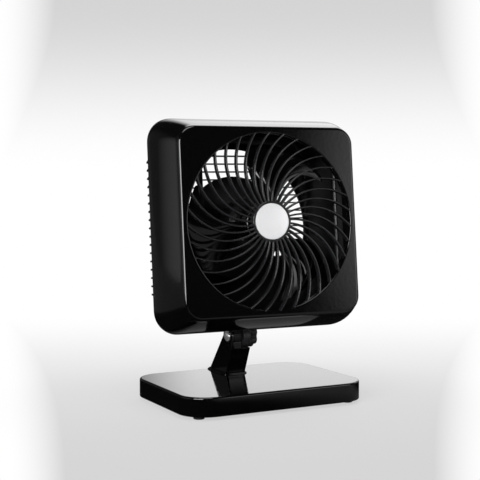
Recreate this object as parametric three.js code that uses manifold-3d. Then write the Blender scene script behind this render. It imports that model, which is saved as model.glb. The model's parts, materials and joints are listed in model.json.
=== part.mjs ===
// Air circulator fan: a square glossy housing with a spiral front grille, held by a tilting and
// swivelling neck on a leaning arm, over a flat rounded base. Millimetres, +Z up, front faces -Y.
import * as THREE from 'three';
import { mergeVertices } from 'three/addons/utils/BufferGeometryUtils.js';
import Module from 'manifold-3d';

const wasm = await Module();
wasm.setup();

// ---- driving dimensions -------------------------------------------------------------------
const SEAT = 0.3;                  // gap left between two pieces that rest on each other
const RUN = 0.4;                   // radial clearance of a pin or screw in its hole
const CLOSE_FIT = 0.05;            // radial clearance of a shaft in its bearing or hub
const CORNER_STEPS = 5;            // facets of each rounded corner

// base
const BASE_WIDTH = 330;
const BASE_DEPTH = 240;
const BASE_THICK = 31;
const BASE_CORNER = 46;
const BASE_EDGE = 3;               // rounding of the top edge
const BASE_WALL = 2.8;
const PLATE_THICK = 2.5;
const PLATE_INSET = 0.5;           // plate to base wall
const FOOT_HEIGHT = 6;
const FOOT_RADIUS = 9;
const FOOT_INSET = [27, 28];       // from the base's side and from its front or rear
const FOOT_X = BASE_WIDTH / 2 - FOOT_INSET[0];
const FOOT_Y = BASE_DEPTH / 2 - FOOT_INSET[1];
const BASE_SCREW_INSET = [47, 42];
const BASE_SCREW_X = BASE_WIDTH / 2 - BASE_SCREW_INSET[0];
const BASE_SCREW_Y = BASE_DEPTH / 2 - BASE_SCREW_INSET[1];
const BASE_SCREW_LENGTH = 14;

// arm
const ARM_WIDTH = 37.2;
const ARM_WALL = 4;
const ARM_FOOT_LENGTH = 64;
const ARM_FOOT_INSET = 7;          // arm's foot from the base's rear
const ARM_FOOT_REAR = BASE_DEPTH / 2 - ARM_FOOT_INSET;
const ARM_FOOT_FRONT = ARM_FOOT_REAR - ARM_FOOT_LENGTH;
const ARM_LEAN = 6.8;              // pivot in front of the foot's front edge
const ARM_COLLAR = 3;              // height and reach of the chamfered collar
const ARM_RIB = 3;
const PIVOT_Y = ARM_FOOT_FRONT - ARM_LEAN;
const PIVOT_HEIGHT = 105;          // above the floor
const EAR_RADIUS = 16.5;
const WEB_TOP_DROP = 22.5;         // top of the channel below the pivot

// tilt joint hardware
const BOLT_RADIUS = 4;
const DOME_RADIUS = 9.5;
const DOME_HEIGHT = 4.5;
const LUG_WIDTH = 15.6;
const LUG_RADIUS = 15;
const KNOB_RADIUS = 19.6;
const KNOB_COLLAR_RADIUS = 18.6;
const KNOB_ROOM = 2.2;             // round the knob in the neck
const KNOB_COLLAR = 13;
const KNOB_GRIP = 14;
const KNOB_CAP = 5;                // solid end of the grip beyond the bolt
const KNOB_LOBES = 6;
const KNOB_LOBE_DEPTH = 3.5;
const WASHER_THICK = 1.2;
const INSERT_RADIUS = 7;
const INSERT_LENGTH = 8;

// neck and swivel
const REST_TILT = 5.24;            // degrees, top leaning back
const REST_SWIVEL = -5;            // degrees, front turned towards -X
const NECK_REACH = 28;             // swivel axis in front of the tilt pivot
const HEAD_RISE = 23.4;            // underside of the head above the tilt pivot
const SWIVEL_TO_PANEL = 131;       // swivel axis behind the front panel
const DISC_RADIUS = 18;
const DISC_THICK = 5;
const SWIVEL_BOLT_RADIUS = 4;
const SWIVEL_HEAD_RADIUS = 8;
const SWIVEL_NUT_RADIUS = 7;
const SWIVEL_NUT_THICK = 6;

// head shell
const PANEL_HALF = 151;
const PANEL_CORNER = 28;
const SHELL_FLARE = 24.5;          // rim beyond the panel
const RIM_HALF = PANEL_HALF + SHELL_FLARE;
const RIM_CORNER = 40;
const RIM_DEPTH = 87;
const SHELL_WALL = 3;
const PANEL_EDGE = 2.2;            // rounding of the panel's edge
const COVER_STEP = 11.5;           // cover inside the rim
const COVER_HALF = RIM_HALF - COVER_STEP;
const COVER_CORNER = 60;
const COVER_TAPER = 16;            // narrowing of the cover's sides from front to back
const COVER_EDGE = 12;             // rounding of the rear edge
const COVER_EDGE_INSET = 9;
const FLANGE = 3;
const BOSS_RADIUS = 6;
const BOSS_LENGTH = 26;

// front grille
const GRILLE_MARGIN = 8.7;         // panel round the grille's opening
const GRILLE_RADIUS = PANEL_HALF - GRILLE_MARGIN;
const GRILLE_CHAMFER = 1.6;
const SKIRT_WALL = 2.6;
const RIB_COUNT = 35;
const RIB_START = -17.2;           // degrees at the hub, clockwise from the top
const RIB_SWEEP = 28.7;            // degrees from hub to rim
const RIB_POWER = 1.42;
const RIB_DEPTH = 10;
const RIB_HUB_WIDTH = 3.4;
const RIB_RIM_WIDTH = 2.5;
const RIB_STEPS = 5;
const HUB_RADIUS = 33;
const HUB_PROUD = 2;               // hub ring in front of the panel
const BADGE_RADIUS = 29;
const BADGE_THICK = 2.4;
const BADGE_DOME = 1.6;

// rear cover grille
const SLAT_PITCH = 13.7;
const SLAT_THICK = 2;
const SLAT_DEPTH = 9;
const REAR_MARGIN = 3.5;           // flat round the rear opening
const REAR_OPENING = COVER_HALF - COVER_TAPER - COVER_EDGE_INSET - REAR_MARGIN;
const REAR_SILL = -52;             // the rear opening's straight lower edge
const STRUT_WIDTH = 6;
const STRUT_PLACE = 60;
const LOUVRE_OVERRUN = 8;          // fins past the cover's flat side
const LOUVRE_COUNT = 2 * Math.floor((COVER_HALF - COVER_CORNER + LOUVRE_OVERRUN) / SLAT_PITCH) + 1;
const LOUVRE_THICK = 3;
const LOUVRE_PROUD = 5;
const LOUVRE_START = 11;           // behind the rim
const LOUVRE_LENGTH = 48;
const PLATE_RADIUS = 88;
const REAR_PLATE_THICK = 6;
const PILLAR_RADIUS = 5.5;
const PILLAR_CIRCLE = 36;
const SCREW_RADIUS = 2;
const SCREW_HEAD_RADIUS = 4;
const SCREW_HEAD = 2.4;

// motor and propeller
const MOTOR_FRONT = 62;            // behind the panel
const MOTOR_RADIUS = 46;
const BELL_DEPTH = 18;
const BELL_WALL = 2.2;
const STACK_LENGTH = 22;
const REAR_ROOM = 43;              // behind the motor, for the switch and the plate
const STACK_FRONT = MOTOR_FRONT + BELL_DEPTH;
const STACK_REAR = STACK_FRONT + STACK_LENGTH;
const MOTOR_REAR = STACK_REAR + BELL_DEPTH;
const COVER_DEPTH = MOTOR_REAR + REAR_ROOM;
const ROTOR_RADIUS = 22;
const AIR_GAP = 0.5;
const COIL_REACH = 9;
const SHAFT_RADIUS = 4;
const BEARING_RADIUS = 9;
const BEARING_LENGTH = 8;
const BLADE_COUNT = 3;
const BLADE_GAP = 11.3;            // blade tips to the grille's opening
const BLADE_TIP = GRILLE_RADIUS - BLADE_GAP;
const BLADE_THICK = 2.4;
const BLADE_CAMBER = 5;
const BLADE_STEPS = 7;
const CHORD_STEPS = 4;
const PROP_HUB_RADIUS = 34;
const PROP_HUB_WALL = 2.5;
const PROP_DEPTH = 32;
const PROP_TO_MOTOR = 6;
const PROP_REAR = MOTOR_FRONT - PROP_TO_MOTOR;
const PROP_FRONT = PROP_REAR - PROP_DEPTH;
const SPINNER_RADIUS = 11;
const SPINNER_LENGTH = 9;

// electrics
const SWITCH_WIDTH = 26;
const SWITCH_LENGTH = 22;
const SWITCH_BUSH_RADIUS = 5;
const SPEED_KNOB_RADIUS = 17;
const SPEED_KNOB_LENGTH = 16;
const CAPACITOR = [38, 16, 26];
const GLAND_INSET = [36, 46];      // from the cover's side and from its underside
const GLAND_X = GLAND_INSET[0] - COVER_HALF + COVER_TAPER;
const GLAND_Z = GLAND_INSET[1] - COVER_HALF;
const GLAND_RADIUS = 8;
const GLAND_BORE = 3.4;
const GLAND_LIP = 3;
const LEAD_RADIUS = 2.6;
const LEAD_DEPTH = 34;             // in front of the cover's back

// ---- helpers ------------------------------------------------------------------------------
const rad = THREE.MathUtils.degToRad;

function closedGeometry(points, faces) {
  const geometry = new THREE.BufferGeometry();
  geometry.setAttribute('position', new THREE.Float32BufferAttribute(points.flat(), 3));
  geometry.setIndex(faces.flat());
  return geometry;
}

function signedVolume(points, faces) {
  const [a, b, c] = [0, 1, 2].map(() => new THREE.Vector3());
  let total = 0;
  for (const [i, j, k] of faces) {
    a.fromArray(points[i]);
    b.fromArray(points[j]);
    c.fromArray(points[k]);
    total += a.dot(b.cross(c));
  }
  return total;
}

// Skins a list of rings that all have the same number of points and closes both ends with strips.
function loft(rings) {
  const n = rings[0].length;
  const points = rings.flat();
  const faces = [];
  for (let r = 0; r + 1 < rings.length; r++) {
    for (let i = 0; i < n; i++) {
      const j = (i + 1) % n;
      const [a, b, c, d] = [r * n + i, r * n + j, (r + 1) * n + j, (r + 1) * n + i];
      faces.push([a, b, c], [a, c, d]);
    }
  }
  const last = (rings.length - 1) * n;
  for (let i = 0; i < n / 2 - 1; i++) {
    const [a, b, c, d] = [i, i + 1, n - 2 - i, n - 1 - i];
    faces.push([a, c, b], [a, d, c]);
    faces.push([last + a, last + b, last + c], [last + a, last + c, last + d]);
  }
  const kept = faces.filter(([a, b, c]) => a !== b && b !== c && a !== c);
  if (signedVolume(points, kept) < 0) kept.forEach((face) => face.reverse());
  return closedGeometry(points, kept);
}

function toSolid(geometry) {
  const merged = mergeVertices(barePositions(geometry), 1e-4);
  const mesh = new wasm.Mesh({
    numProp: 3,
    vertProperties: new Float32Array(merged.attributes.position.array),
    triVerts: new Uint32Array(merged.index.array),
  });
  return new wasm.Manifold(mesh);
}

function fromSolid(solid) {
  const mesh = solid.getMesh();
  const geometry = new THREE.BufferGeometry();
  geometry.setAttribute('position', new THREE.Float32BufferAttribute(mesh.vertProperties, 3));
  geometry.setIndex(Array.from(mesh.triVerts));
  return geometry;
}

const asSolid = (shape) => (shape.isBufferGeometry ? toSolid(shape) : shape);
const join = (...shapes) => shapes.map(asSolid).reduce((a, b) => a.add(b));
const cut = (shape, ...tools) => tools.map(asSolid).reduce((a, b) => a.subtract(b), asSolid(shape));

function box(x0, x1, y0, y1, z0, z1) {
  const geometry = new THREE.BoxGeometry(x1 - x0, y1 - y0, z1 - z0);
  return geometry.translate((x0 + x1) / 2, (y0 + y1) / 2, (z0 + z1) / 2);
}

// A rod along an axis ('x', 'y' or 'z') from one coordinate to another, centred on (u, v).
function rod(axis, radius, from, to, u = 0, v = 0, sides = 20) {
  const geometry = new THREE.CylinderGeometry(radius, radius, to - from, sides);
  const middle = (from + to) / 2;
  if (axis === 'x') return geometry.rotateZ(-Math.PI / 2).translate(middle, u, v);
  if (axis === 'y') return geometry.translate(u, middle, v);
  return geometry.rotateX(Math.PI / 2).translate(u, v, middle);
}

// A turned piece along an axis, from [radius, position] pairs that start and end on the axis
// or close on themselves.
function turned(axis, profile, sides = 32, u = 0, v = 0) {
  const outline = profile.map(([r, h]) => new THREE.Vector2(r, h));
  const geometry = new THREE.LatheGeometry(outline, sides);
  const merged = mergeVertices(barePositions(geometry), 1e-4);
  const position = merged.attributes.position;
  const points = Array.from({ length: position.count }, (_, i) => new THREE.Vector3()
    .fromBufferAttribute(position, i).toArray());
  const index = Array.from(merged.index.array);
  const faces = [];
  for (let i = 0; i < index.length; i += 3) {
    const [a, b, c] = index.slice(i, i + 3);
    if (a !== b && b !== c && a !== c) faces.push([a, b, c]);
  }
  if (signedVolume(points, faces) < 0) faces.forEach((face) => face.reverse());
  const turnedPiece = closedGeometry(points, faces);
  if (axis === 'x') return turnedPiece.rotateZ(-Math.PI / 2).translate(0, u, v);
  if (axis === 'y') return turnedPiece.translate(u, 0, v);
  return turnedPiece.rotateX(Math.PI / 2).translate(u, v, 0);
}

// Washer or tube along an axis.
function tube(axis, outer, inner, from, to, sides = 20, u = 0, v = 0) {
  const profile = [[inner, from], [outer, from], [outer, to], [inner, to], [inner, from]];
  return turned(axis, profile, sides, u, v);
}

// Outline of a rounded rectangle as [p, q] pairs.
function roundedOutline(halfP, halfQ, corner) {
  const outline = [];
  const centres = [[1, 1], [-1, 1], [-1, -1], [1, -1]];
  centres.forEach(([sp, sq], quarter) => {
    for (let i = 0; i <= CORNER_STEPS; i++) {
      const angle = (quarter + i / CORNER_STEPS) * Math.PI / 2;
      outline.push([
        sp * (halfP - corner) + corner * Math.cos(angle),
        sq * (halfQ - corner) + corner * Math.sin(angle),
      ]);
    }
  });
  return outline;
}

const flatRing = (halfX, halfY, corner, z) => roundedOutline(halfX, halfY, corner)
  .map(([x, y]) => [x, y, z]);
const headRing = (half, corner, y) => roundedOutline(half, half, corner)
  .map(([x, z]) => [x, y, z]);

function barePositions(geometry) {
  const bare = geometry.clone();
  for (const name of Object.keys(bare.attributes)) {
    if (name !== 'position') bare.deleteAttribute(name);
  }
  return bare;
}

const finishes = {
  glossBlack: { color: 0x0b0b0c, roughness: 0.12, metalness: 0 },
  satinBlack: { color: 0x151516, roughness: 0.45, metalness: 0 },
  knobGrey: { color: 0x232427, roughness: 0.5, metalness: 0 },
  rubber: { color: 0x101010, roughness: 0.9, metalness: 0 },
  silver: { color: 0xcfd0d2, roughness: 0.35, metalness: 0.8 },
  chrome: { color: 0xd8d8da, roughness: 0.15, metalness: 1 },
  steel: { color: 0x9a9b9e, roughness: 0.4, metalness: 1 },
  copper: { color: 0x9c5a2c, roughness: 0.45, metalness: 0.9 },
  bronze: { color: 0x8a6a3c, roughness: 0.5, metalness: 0.9 },
  white: { color: 0xd9d7d0, roughness: 0.5, metalness: 0 },
};

function piece(name, shape, finish) {
  const geometry = shape.isBufferGeometry ? shape : fromSolid(shape);
  const mesh = new THREE.Mesh(geometry, new THREE.MeshStandardMaterial(finishes[finish]));
  mesh.name = name;
  return mesh;
}

const pieces = (name, shapes, finish) => shapes
  .map((shape, i) => piece(`${name}_${i + 1}`, shape, finish));

// ---- base ---------------------------------------------------------------------------------
const BASE_BOTTOM = FOOT_HEIGHT;
const BASE_TOP = BASE_BOTTOM + BASE_THICK;
const fourCorners = (x, y) => [[-x, -y], [x, -y], [-x, y], [x, y]];

function baseShell() {
  const [hx, hy, r] = [BASE_WIDTH / 2, BASE_DEPTH / 2, BASE_CORNER];
  const inner = BASE_WALL;
  const rings = [
    flatRing(hx - 1, hy - 1, r - 1, BASE_BOTTOM),
    flatRing(hx, hy, r, BASE_BOTTOM + 1),
    flatRing(hx, hy, r, BASE_TOP - BASE_EDGE),
    flatRing(hx - BASE_EDGE * 0.3, hy - BASE_EDGE * 0.3, r - BASE_EDGE * 0.3, BASE_TOP - BASE_EDGE * 0.3),
    flatRing(hx - BASE_EDGE, hy - BASE_EDGE, r - BASE_EDGE, BASE_TOP),
  ];
  const hollow = loft([
    flatRing(hx - inner, hy - inner, r - inner, BASE_BOTTOM - 1),
    flatRing(hx - inner, hy - inner, r - inner, BASE_TOP - BASE_EDGE - inner),
    flatRing(hx - inner - BASE_EDGE, hy - inner - BASE_EDGE, r - inner - BASE_EDGE, BASE_TOP - inner),
  ]);
  const plateTop = BASE_BOTTOM + PLATE_THICK + SEAT;
  const bosses = fourCorners(BASE_SCREW_X, BASE_SCREW_Y)
    .map(([x, y]) => rod('z', BOSS_RADIUS, plateTop, BASE_TOP - inner + 1, x, y, 16));
  const bores = fourCorners(BASE_SCREW_X, BASE_SCREW_Y)
    .map(([x, y]) => rod('z', SCREW_RADIUS + RUN, plateTop - 1, plateTop + BASE_SCREW_LENGTH + 2, x, y, 8));
  const armHoles = armScrewPlaces()
    .map(([x, y]) => rod('z', SCREW_RADIUS + RUN, BASE_TOP - inner - 2, BASE_TOP + 1, x, y, 8));
  return cut(join(cut(loft(rings), hollow), ...bosses), ...bores, ...armHoles);
}

function basePlate() {
  const lip = BASE_WALL + PLATE_INSET;
  const [hx, hy, r] = [BASE_WIDTH / 2 - lip, BASE_DEPTH / 2 - lip, BASE_CORNER - lip];
  const plate = loft([flatRing(hx, hy, r, BASE_BOTTOM), flatRing(hx, hy, r, BASE_BOTTOM + PLATE_THICK)]);
  const holes = fourCorners(BASE_SCREW_X, BASE_SCREW_Y)
    .map(([x, y]) => rod('z', SCREW_RADIUS + RUN, BASE_BOTTOM - 1, BASE_BOTTOM + PLATE_THICK + 1, x, y, 8));
  return cut(plate, ...holes);
}

function foot(x, y) {
  const top = BASE_BOTTOM - SEAT;
  const profile = [[0, 0], [FOOT_RADIUS - 1.5, 0], [FOOT_RADIUS, 1.5], [FOOT_RADIUS, top], [0, top]];
  return turned('z', profile, 16, x, y);
}

// Pan-head screw along an axis: its shank runs from the head's seat to the tip.
function screw(axis, seat, tip, u, v, headRadius = SCREW_HEAD_RADIUS, radius = SCREW_RADIUS) {
  const back = Math.sign(seat - tip);
  const profile = [
    [0, tip], [radius, tip], [radius, seat], [headRadius, seat],
    [headRadius, seat + back * SCREW_HEAD], [0, seat + back * SCREW_HEAD],
  ];
  return turned(axis, profile, 8, u, v);
}

function baseScrews() {
  const seat = BASE_BOTTOM - SEAT;
  const tip = seat + BASE_SCREW_LENGTH;
  return fourCorners(BASE_SCREW_X, BASE_SCREW_Y).map(([x, y]) => screw('z', seat, tip, x, y));
}

// ---- arm ----------------------------------------------------------------------------------
const ARM_BOTTOM = BASE_TOP + SEAT;
const LUG_LEFT = -ARM_WIDTH / 2 + ARM_WALL + SEAT;
const LUG_RIGHT = LUG_LEFT + LUG_WIDTH;

function armScrewPlaces() {
  const x = ARM_WIDTH / 2 - ARM_WALL - BOSS_RADIUS;
  const [front, rear] = [ARM_FOOT_FRONT + 14, ARM_FOOT_REAR - 12];
  return [[-x, front], [x, front], [-x, rear], [x, rear]];
}

// Side outline of the arm in (y, z): a leaning, tapering beam with a round ear at the pivot.
function armOutline(withEar) {
  const shape = new THREE.Shape();
  const webTop = PIVOT_HEIGHT - WEB_TOP_DROP;
  const lean = (PIVOT_Y - EAR_RADIUS + 3 - ARM_FOOT_FRONT) / (webTop - ARM_BOTTOM);
  const rearLean = (PIVOT_Y + EAR_RADIUS - ARM_FOOT_REAR) / (PIVOT_HEIGHT - ARM_BOTTOM);
  shape.moveTo(ARM_FOOT_FRONT, ARM_BOTTOM);
  shape.lineTo(ARM_FOOT_FRONT + lean * (webTop - ARM_BOTTOM), webTop);
  if (withEar) {
    shape.lineTo(PIVOT_Y - EAR_RADIUS, PIVOT_HEIGHT);
    for (let i = 1; i <= 8; i++) {
      const angle = Math.PI * (1 - i / 8);
      shape.lineTo(PIVOT_Y + EAR_RADIUS * Math.cos(angle), PIVOT_HEIGHT + EAR_RADIUS * Math.sin(angle));
    }
  } else {
    shape.lineTo(ARM_FOOT_REAR + rearLean * (webTop - ARM_BOTTOM), webTop);
  }
  shape.lineTo(ARM_FOOT_REAR, ARM_BOTTOM);
  shape.closePath();
  return shape;
}

// Extrudes a (y, z) outline along x.
function sidePlate(shape, x0, x1) {
  const geometry = new THREE.ExtrudeGeometry(shape, { depth: x1 - x0, bevelEnabled: false });
  geometry.applyMatrix4(new THREE.Matrix4().set(0, 0, 1, x0, 1, 0, 0, 0, 0, 1, 0, 0, 0, 0, 0, 1));
  return geometry;
}

function supportArm() {
  const half = ARM_WIDTH / 2;
  const webTop = PIVOT_HEIGHT - WEB_TOP_DROP;
  const left = sidePlate(armOutline(true), -half, -half + ARM_WALL);
  const right = sidePlate(armOutline(false), half - ARM_WALL, half);
  const body = sidePlate(armOutline(false), -half, half);
  const hollow = cut(
    sidePlate(armOutline(false), -half + ARM_WALL, half - ARM_WALL).translate(0, ARM_WALL * 1.1, 0),
    box(-half, half, ARM_FOOT_FRONT - 60, ARM_FOOT_REAR + 20, ARM_BOTTOM - 1, ARM_BOTTOM + ARM_WALL),
  );
  const inside = sidePlate(armOutline(false), -half + 1, half - 1);
  const ribs = [0.36, 0.7].map((t) => {
    const z = ARM_BOTTOM + t * (webTop - ARM_BOTTOM);
    return asSolid(inside).intersect(asSolid(box(-half, half, 0, ARM_FOOT_REAR, z, z + ARM_RIB)));
  });
  const collarBox = [
    [half + ARM_COLLAR, ARM_COLLAR, ARM_BOTTOM], [half + ARM_COLLAR, ARM_COLLAR, ARM_BOTTOM + 1.2],
    [half - 0.5, 0, ARM_BOTTOM + 1.2 + ARM_COLLAR],
  ];
  const collar = loft(collarBox.map(([hx, grow, z]) => [
    [hx, ARM_FOOT_FRONT - grow, z], [hx, ARM_FOOT_REAR + grow, z],
    [-hx, ARM_FOOT_REAR + grow, z], [-hx, ARM_FOOT_FRONT - grow, z],
  ]));
  const bores = armScrewPlaces()
    .map(([x, y]) => rod('z', SCREW_RADIUS + RUN, ARM_BOTTOM - 1, ARM_BOTTOM + 14, x, y, 8));
  const bosses = armScrewPlaces()
    .map(([x, y]) => rod('z', BOSS_RADIUS - 1, ARM_BOTTOM, ARM_BOTTOM + 12, x, y, 8));
  const pivotBore = rod('x', BOLT_RADIUS + RUN, -half - 1, -half + ARM_WALL + 1, PIVOT_Y, PIVOT_HEIGHT);
  const channel = join(cut(body, hollow), left, right, ...ribs, collar, ...bosses);
  return cut(channel, pivotBore, ...bores);
}

function armScrews() {
  const seat = BASE_TOP - BASE_WALL - SEAT;
  return armScrewPlaces().map(([x, y]) => screw('z', seat, seat + 12, x, y));
}

// ---- tilt hardware, in the frame of the pivot (x along the bolt) ---------------------------
const KNOB_START = LUG_RIGHT + SEAT + WASHER_THICK + SEAT;
const KNOB_END = KNOB_START + KNOB_COLLAR + KNOB_GRIP;

function tiltBolt() {
  const seat = -ARM_WIDTH / 2 - SEAT;
  const tip = KNOB_END - KNOB_CAP - 1;
  const profile = [[0, tip], [BOLT_RADIUS, tip], [BOLT_RADIUS, seat], [DOME_RADIUS, seat]];
  for (let i = 1; i <= 4; i++) {
    const angle = i / 4 * Math.PI / 2;
    profile.push([DOME_RADIUS * Math.cos(angle), seat - DOME_HEIGHT * Math.sin(angle)]);
  }
  profile[profile.length - 1][0] = 0;
  return turned('x', profile, 24);
}

function lobedRing(radius, depth, x) {
  const ring = [];
  const steps = KNOB_LOBES * 5;
  for (let i = 0; i < steps; i++) {
    const angle = i / steps * 2 * Math.PI;
    const r = radius - depth * (0.5 - 0.5 * Math.cos(KNOB_LOBES * angle));
    ring.push([x, r * Math.sin(angle), r * Math.cos(angle)]);
  }
  return ring;
}

function tiltKnob() {
  const grip = KNOB_START + KNOB_COLLAR;
  const body = loft([
    lobedRing(KNOB_COLLAR_RADIUS - 1, 0, KNOB_START),
    lobedRing(KNOB_COLLAR_RADIUS, 0, KNOB_START + 1),
    lobedRing(KNOB_COLLAR_RADIUS, 0, grip - 1),
    lobedRing(KNOB_RADIUS, KNOB_LOBE_DEPTH, grip + 1),
    lobedRing(KNOB_RADIUS, KNOB_LOBE_DEPTH, KNOB_END - 2.5),
    lobedRing(KNOB_RADIUS - 2.5, KNOB_LOBE_DEPTH, KNOB_END),
  ]);
  const pocket = hexPrism(INSERT_RADIUS + SEAT, KNOB_START - 1, KNOB_START + INSERT_LENGTH + SEAT);
  return cut(body, rod('x', BOLT_RADIUS + RUN, KNOB_START - 1, KNOB_END - KNOB_CAP), pocket);
}

function hexPrism(radius, from, to) {
  return rod('x', radius, from, to, 0, 0, 6);
}

function knobInsert() {
  const [from, to] = [KNOB_START, KNOB_START + INSERT_LENGTH];
  return cut(hexPrism(INSERT_RADIUS, from, to), rod('x', BOLT_RADIUS + CLOSE_FIT, from - 1, to + 1));
}

function tiltWasher() {
  const from = LUG_RIGHT + SEAT;
  return tube('x', LUG_RADIUS - 4, BOLT_RADIUS + RUN, from, from + WASHER_THICK);
}

// ---- neck, in the frame of the tilt pivot ---------------------------------------------------
const DISC_TOP = HEAD_RISE - SEAT;
const DISC_BOTTOM = DISC_TOP - DISC_THICK;

function neckLug() {
  const barrel = rod('x', LUG_RADIUS, LUG_LEFT, LUG_RIGHT, 0, 0, 28);
  const disc = rod('z', DISC_RADIUS, DISC_BOTTOM, DISC_TOP, 0, -NECK_REACH, 36);
  const web = loft([
    [[LUG_LEFT, -LUG_RADIUS * 0.8, 0], [LUG_RIGHT, -LUG_RADIUS * 0.8, 0],
      [LUG_RIGHT, LUG_RADIUS * 0.9, 0], [LUG_LEFT, LUG_RADIUS * 0.9, 0]],
    [[LUG_LEFT, -NECK_REACH, DISC_BOTTOM + 1], [LUG_RIGHT, -NECK_REACH, DISC_BOTTOM + 1],
      [LUG_RIGHT, 6, DISC_BOTTOM + 1], [LUG_LEFT, 6, DISC_BOTTOM + 1]],
  ]);
  const nutRoom = rod('z', SWIVEL_NUT_RADIUS + 2, DISC_BOTTOM - 24, DISC_BOTTOM, 0, -NECK_REACH);
  const swivelBore = rod('z', SWIVEL_BOLT_RADIUS + RUN, DISC_BOTTOM - 1, DISC_TOP + 1, 0, -NECK_REACH);
  const tiltBore = rod('x', BOLT_RADIUS + RUN, LUG_LEFT - 1, LUG_RIGHT + 1);
  const knobRoom = rod('x', KNOB_RADIUS + KNOB_ROOM, LUG_RIGHT, LUG_RIGHT + DISC_RADIUS * 2, 0, 0, 28);
  return cut(join(cut(join(barrel, web), nutRoom), disc), swivelBore, tiltBore, knobRoom);
}

function swivelWasher() {
  const top = DISC_BOTTOM - SEAT;
  const [outer, inner] = [SWIVEL_NUT_RADIUS + 1, SWIVEL_BOLT_RADIUS + RUN];
  return tube('z', outer, inner, top - WASHER_THICK, top, 20, 0, -NECK_REACH);
}

// ---- swivel bolt and nut, in the frame of the swivel axis (z = 0 at the cover's underside) --
const NUT_TOP = -SEAT - DISC_THICK - SEAT - WASHER_THICK - SEAT;

function swivelBolt() {
  const seat = SHELL_WALL + SEAT;
  const tip = NUT_TOP - SWIVEL_NUT_THICK - 1;
  const profile = [
    [0, tip], [SWIVEL_BOLT_RADIUS, tip], [SWIVEL_BOLT_RADIUS, seat],
    [SWIVEL_HEAD_RADIUS, seat], [SWIVEL_HEAD_RADIUS, seat + 5], [0, seat + 5],
  ];
  return turned('z', profile, 20);
}

function swivelNut() {
  const nut = new THREE.CylinderGeometry(SWIVEL_NUT_RADIUS, SWIVEL_NUT_RADIUS, SWIVEL_NUT_THICK, 6)
    .rotateX(Math.PI / 2).translate(0, 0, NUT_TOP - SWIVEL_NUT_THICK / 2);
  return cut(nut, rod('z', SWIVEL_BOLT_RADIUS + CLOSE_FIT, NUT_TOP - SWIVEL_NUT_THICK - 1, NUT_TOP + 1));
}

// ---- head shell, in the head's frame (y = 0 at the front panel, x = z = 0 on the fan axis) --
// Half width and corner radius of the front shell at a depth behind the panel.
function shellSection(depth, wall) {
  const t = Math.min(depth / RIM_DEPTH, 1);
  const swell = 1 - (1 - t) ** 1.5;
  const half = PANEL_HALF + (RIM_HALF - PANEL_HALF) * swell - wall;
  const corner = PANEL_CORNER + (RIM_CORNER - PANEL_CORNER) * t - wall;
  return [half, corner];
}

function shellRings(wall, stations) {
  return stations.map((depth) => {
    const [half, corner] = shellSection(depth, wall);
    return headRing(half, corner, depth);
  });
}

const SHELL_STATIONS = [0.12, 0.26, 0.45, 0.7, 1];

function shellOuter() {
  const e = PANEL_EDGE;
  const edge = [[e, 0], [e * 0.3, e * 0.3]]
    .map(([inset, y]) => headRing(PANEL_HALF - inset, PANEL_CORNER - inset, y));
  return loft([...edge, ...shellRings(0, [0.03, ...SHELL_STATIONS].map((t) => t * RIM_DEPTH))]);
}

function shellInner() {
  const stations = SHELL_STATIONS.map((t) => t * RIM_DEPTH);
  const rings = shellRings(SHELL_WALL, [SHELL_WALL, ...stations]);
  const [half, corner] = shellSection(RIM_DEPTH, SHELL_WALL);
  return loft([...rings, headRing(half, corner, RIM_DEPTH + 5)]);
}

function ribAngle(radius) {
  const t = Math.max(0, (radius - HUB_RADIUS) / (GRILLE_RADIUS - HUB_RADIUS));
  return rad(RIB_START + RIB_SWEEP * t ** RIB_POWER);
}

// One curved grille rib, before it is turned to its place round the hub.
function grilleRib() {
  const inner = HUB_RADIUS - 2;
  const outer = GRILLE_RADIUS + SKIRT_WALL * 0.6;
  const centre = (radius) => new THREE.Vector2(Math.sin(ribAngle(radius)), Math.cos(ribAngle(radius)))
    .multiplyScalar(radius);
  const quarter = Math.PI / 2;
  const rings = [];
  for (let i = 0; i <= RIB_STEPS; i++) {
    const t = i / RIB_STEPS;
    const radius = inner + (outer - inner) * t;
    const here = centre(radius);
    const along = centre(radius + 0.5).sub(centre(radius - 0.5)).normalize();
    const side = along.rotateAround(new THREE.Vector2(), quarter);
    const width = RIB_HUB_WIDTH + (RIB_RIM_WIDTH - RIB_HUB_WIDTH) * t;
    const front = -HUB_PROUD * 0.8 * (1 - t) ** 2;
    const corner = (w, y) => [here.x + side.x * w / 2, y, here.y + side.y * w / 2];
    rings.push([
      corner(width, front), corner(-width, front),
      corner(-width * 0.6, front + RIB_DEPTH), corner(width * 0.6, front + RIB_DEPTH),
    ]);
  }
  return toSolid(loft(rings));
}

function housingScrewPlaces() {
  const wall = RIM_HALF - SHELL_WALL - (RIM_CORNER - SHELL_WALL) * (1 - Math.SQRT1_2);
  const place = wall - BOSS_RADIUS;
  return fourCorners(place, place);
}

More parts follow.
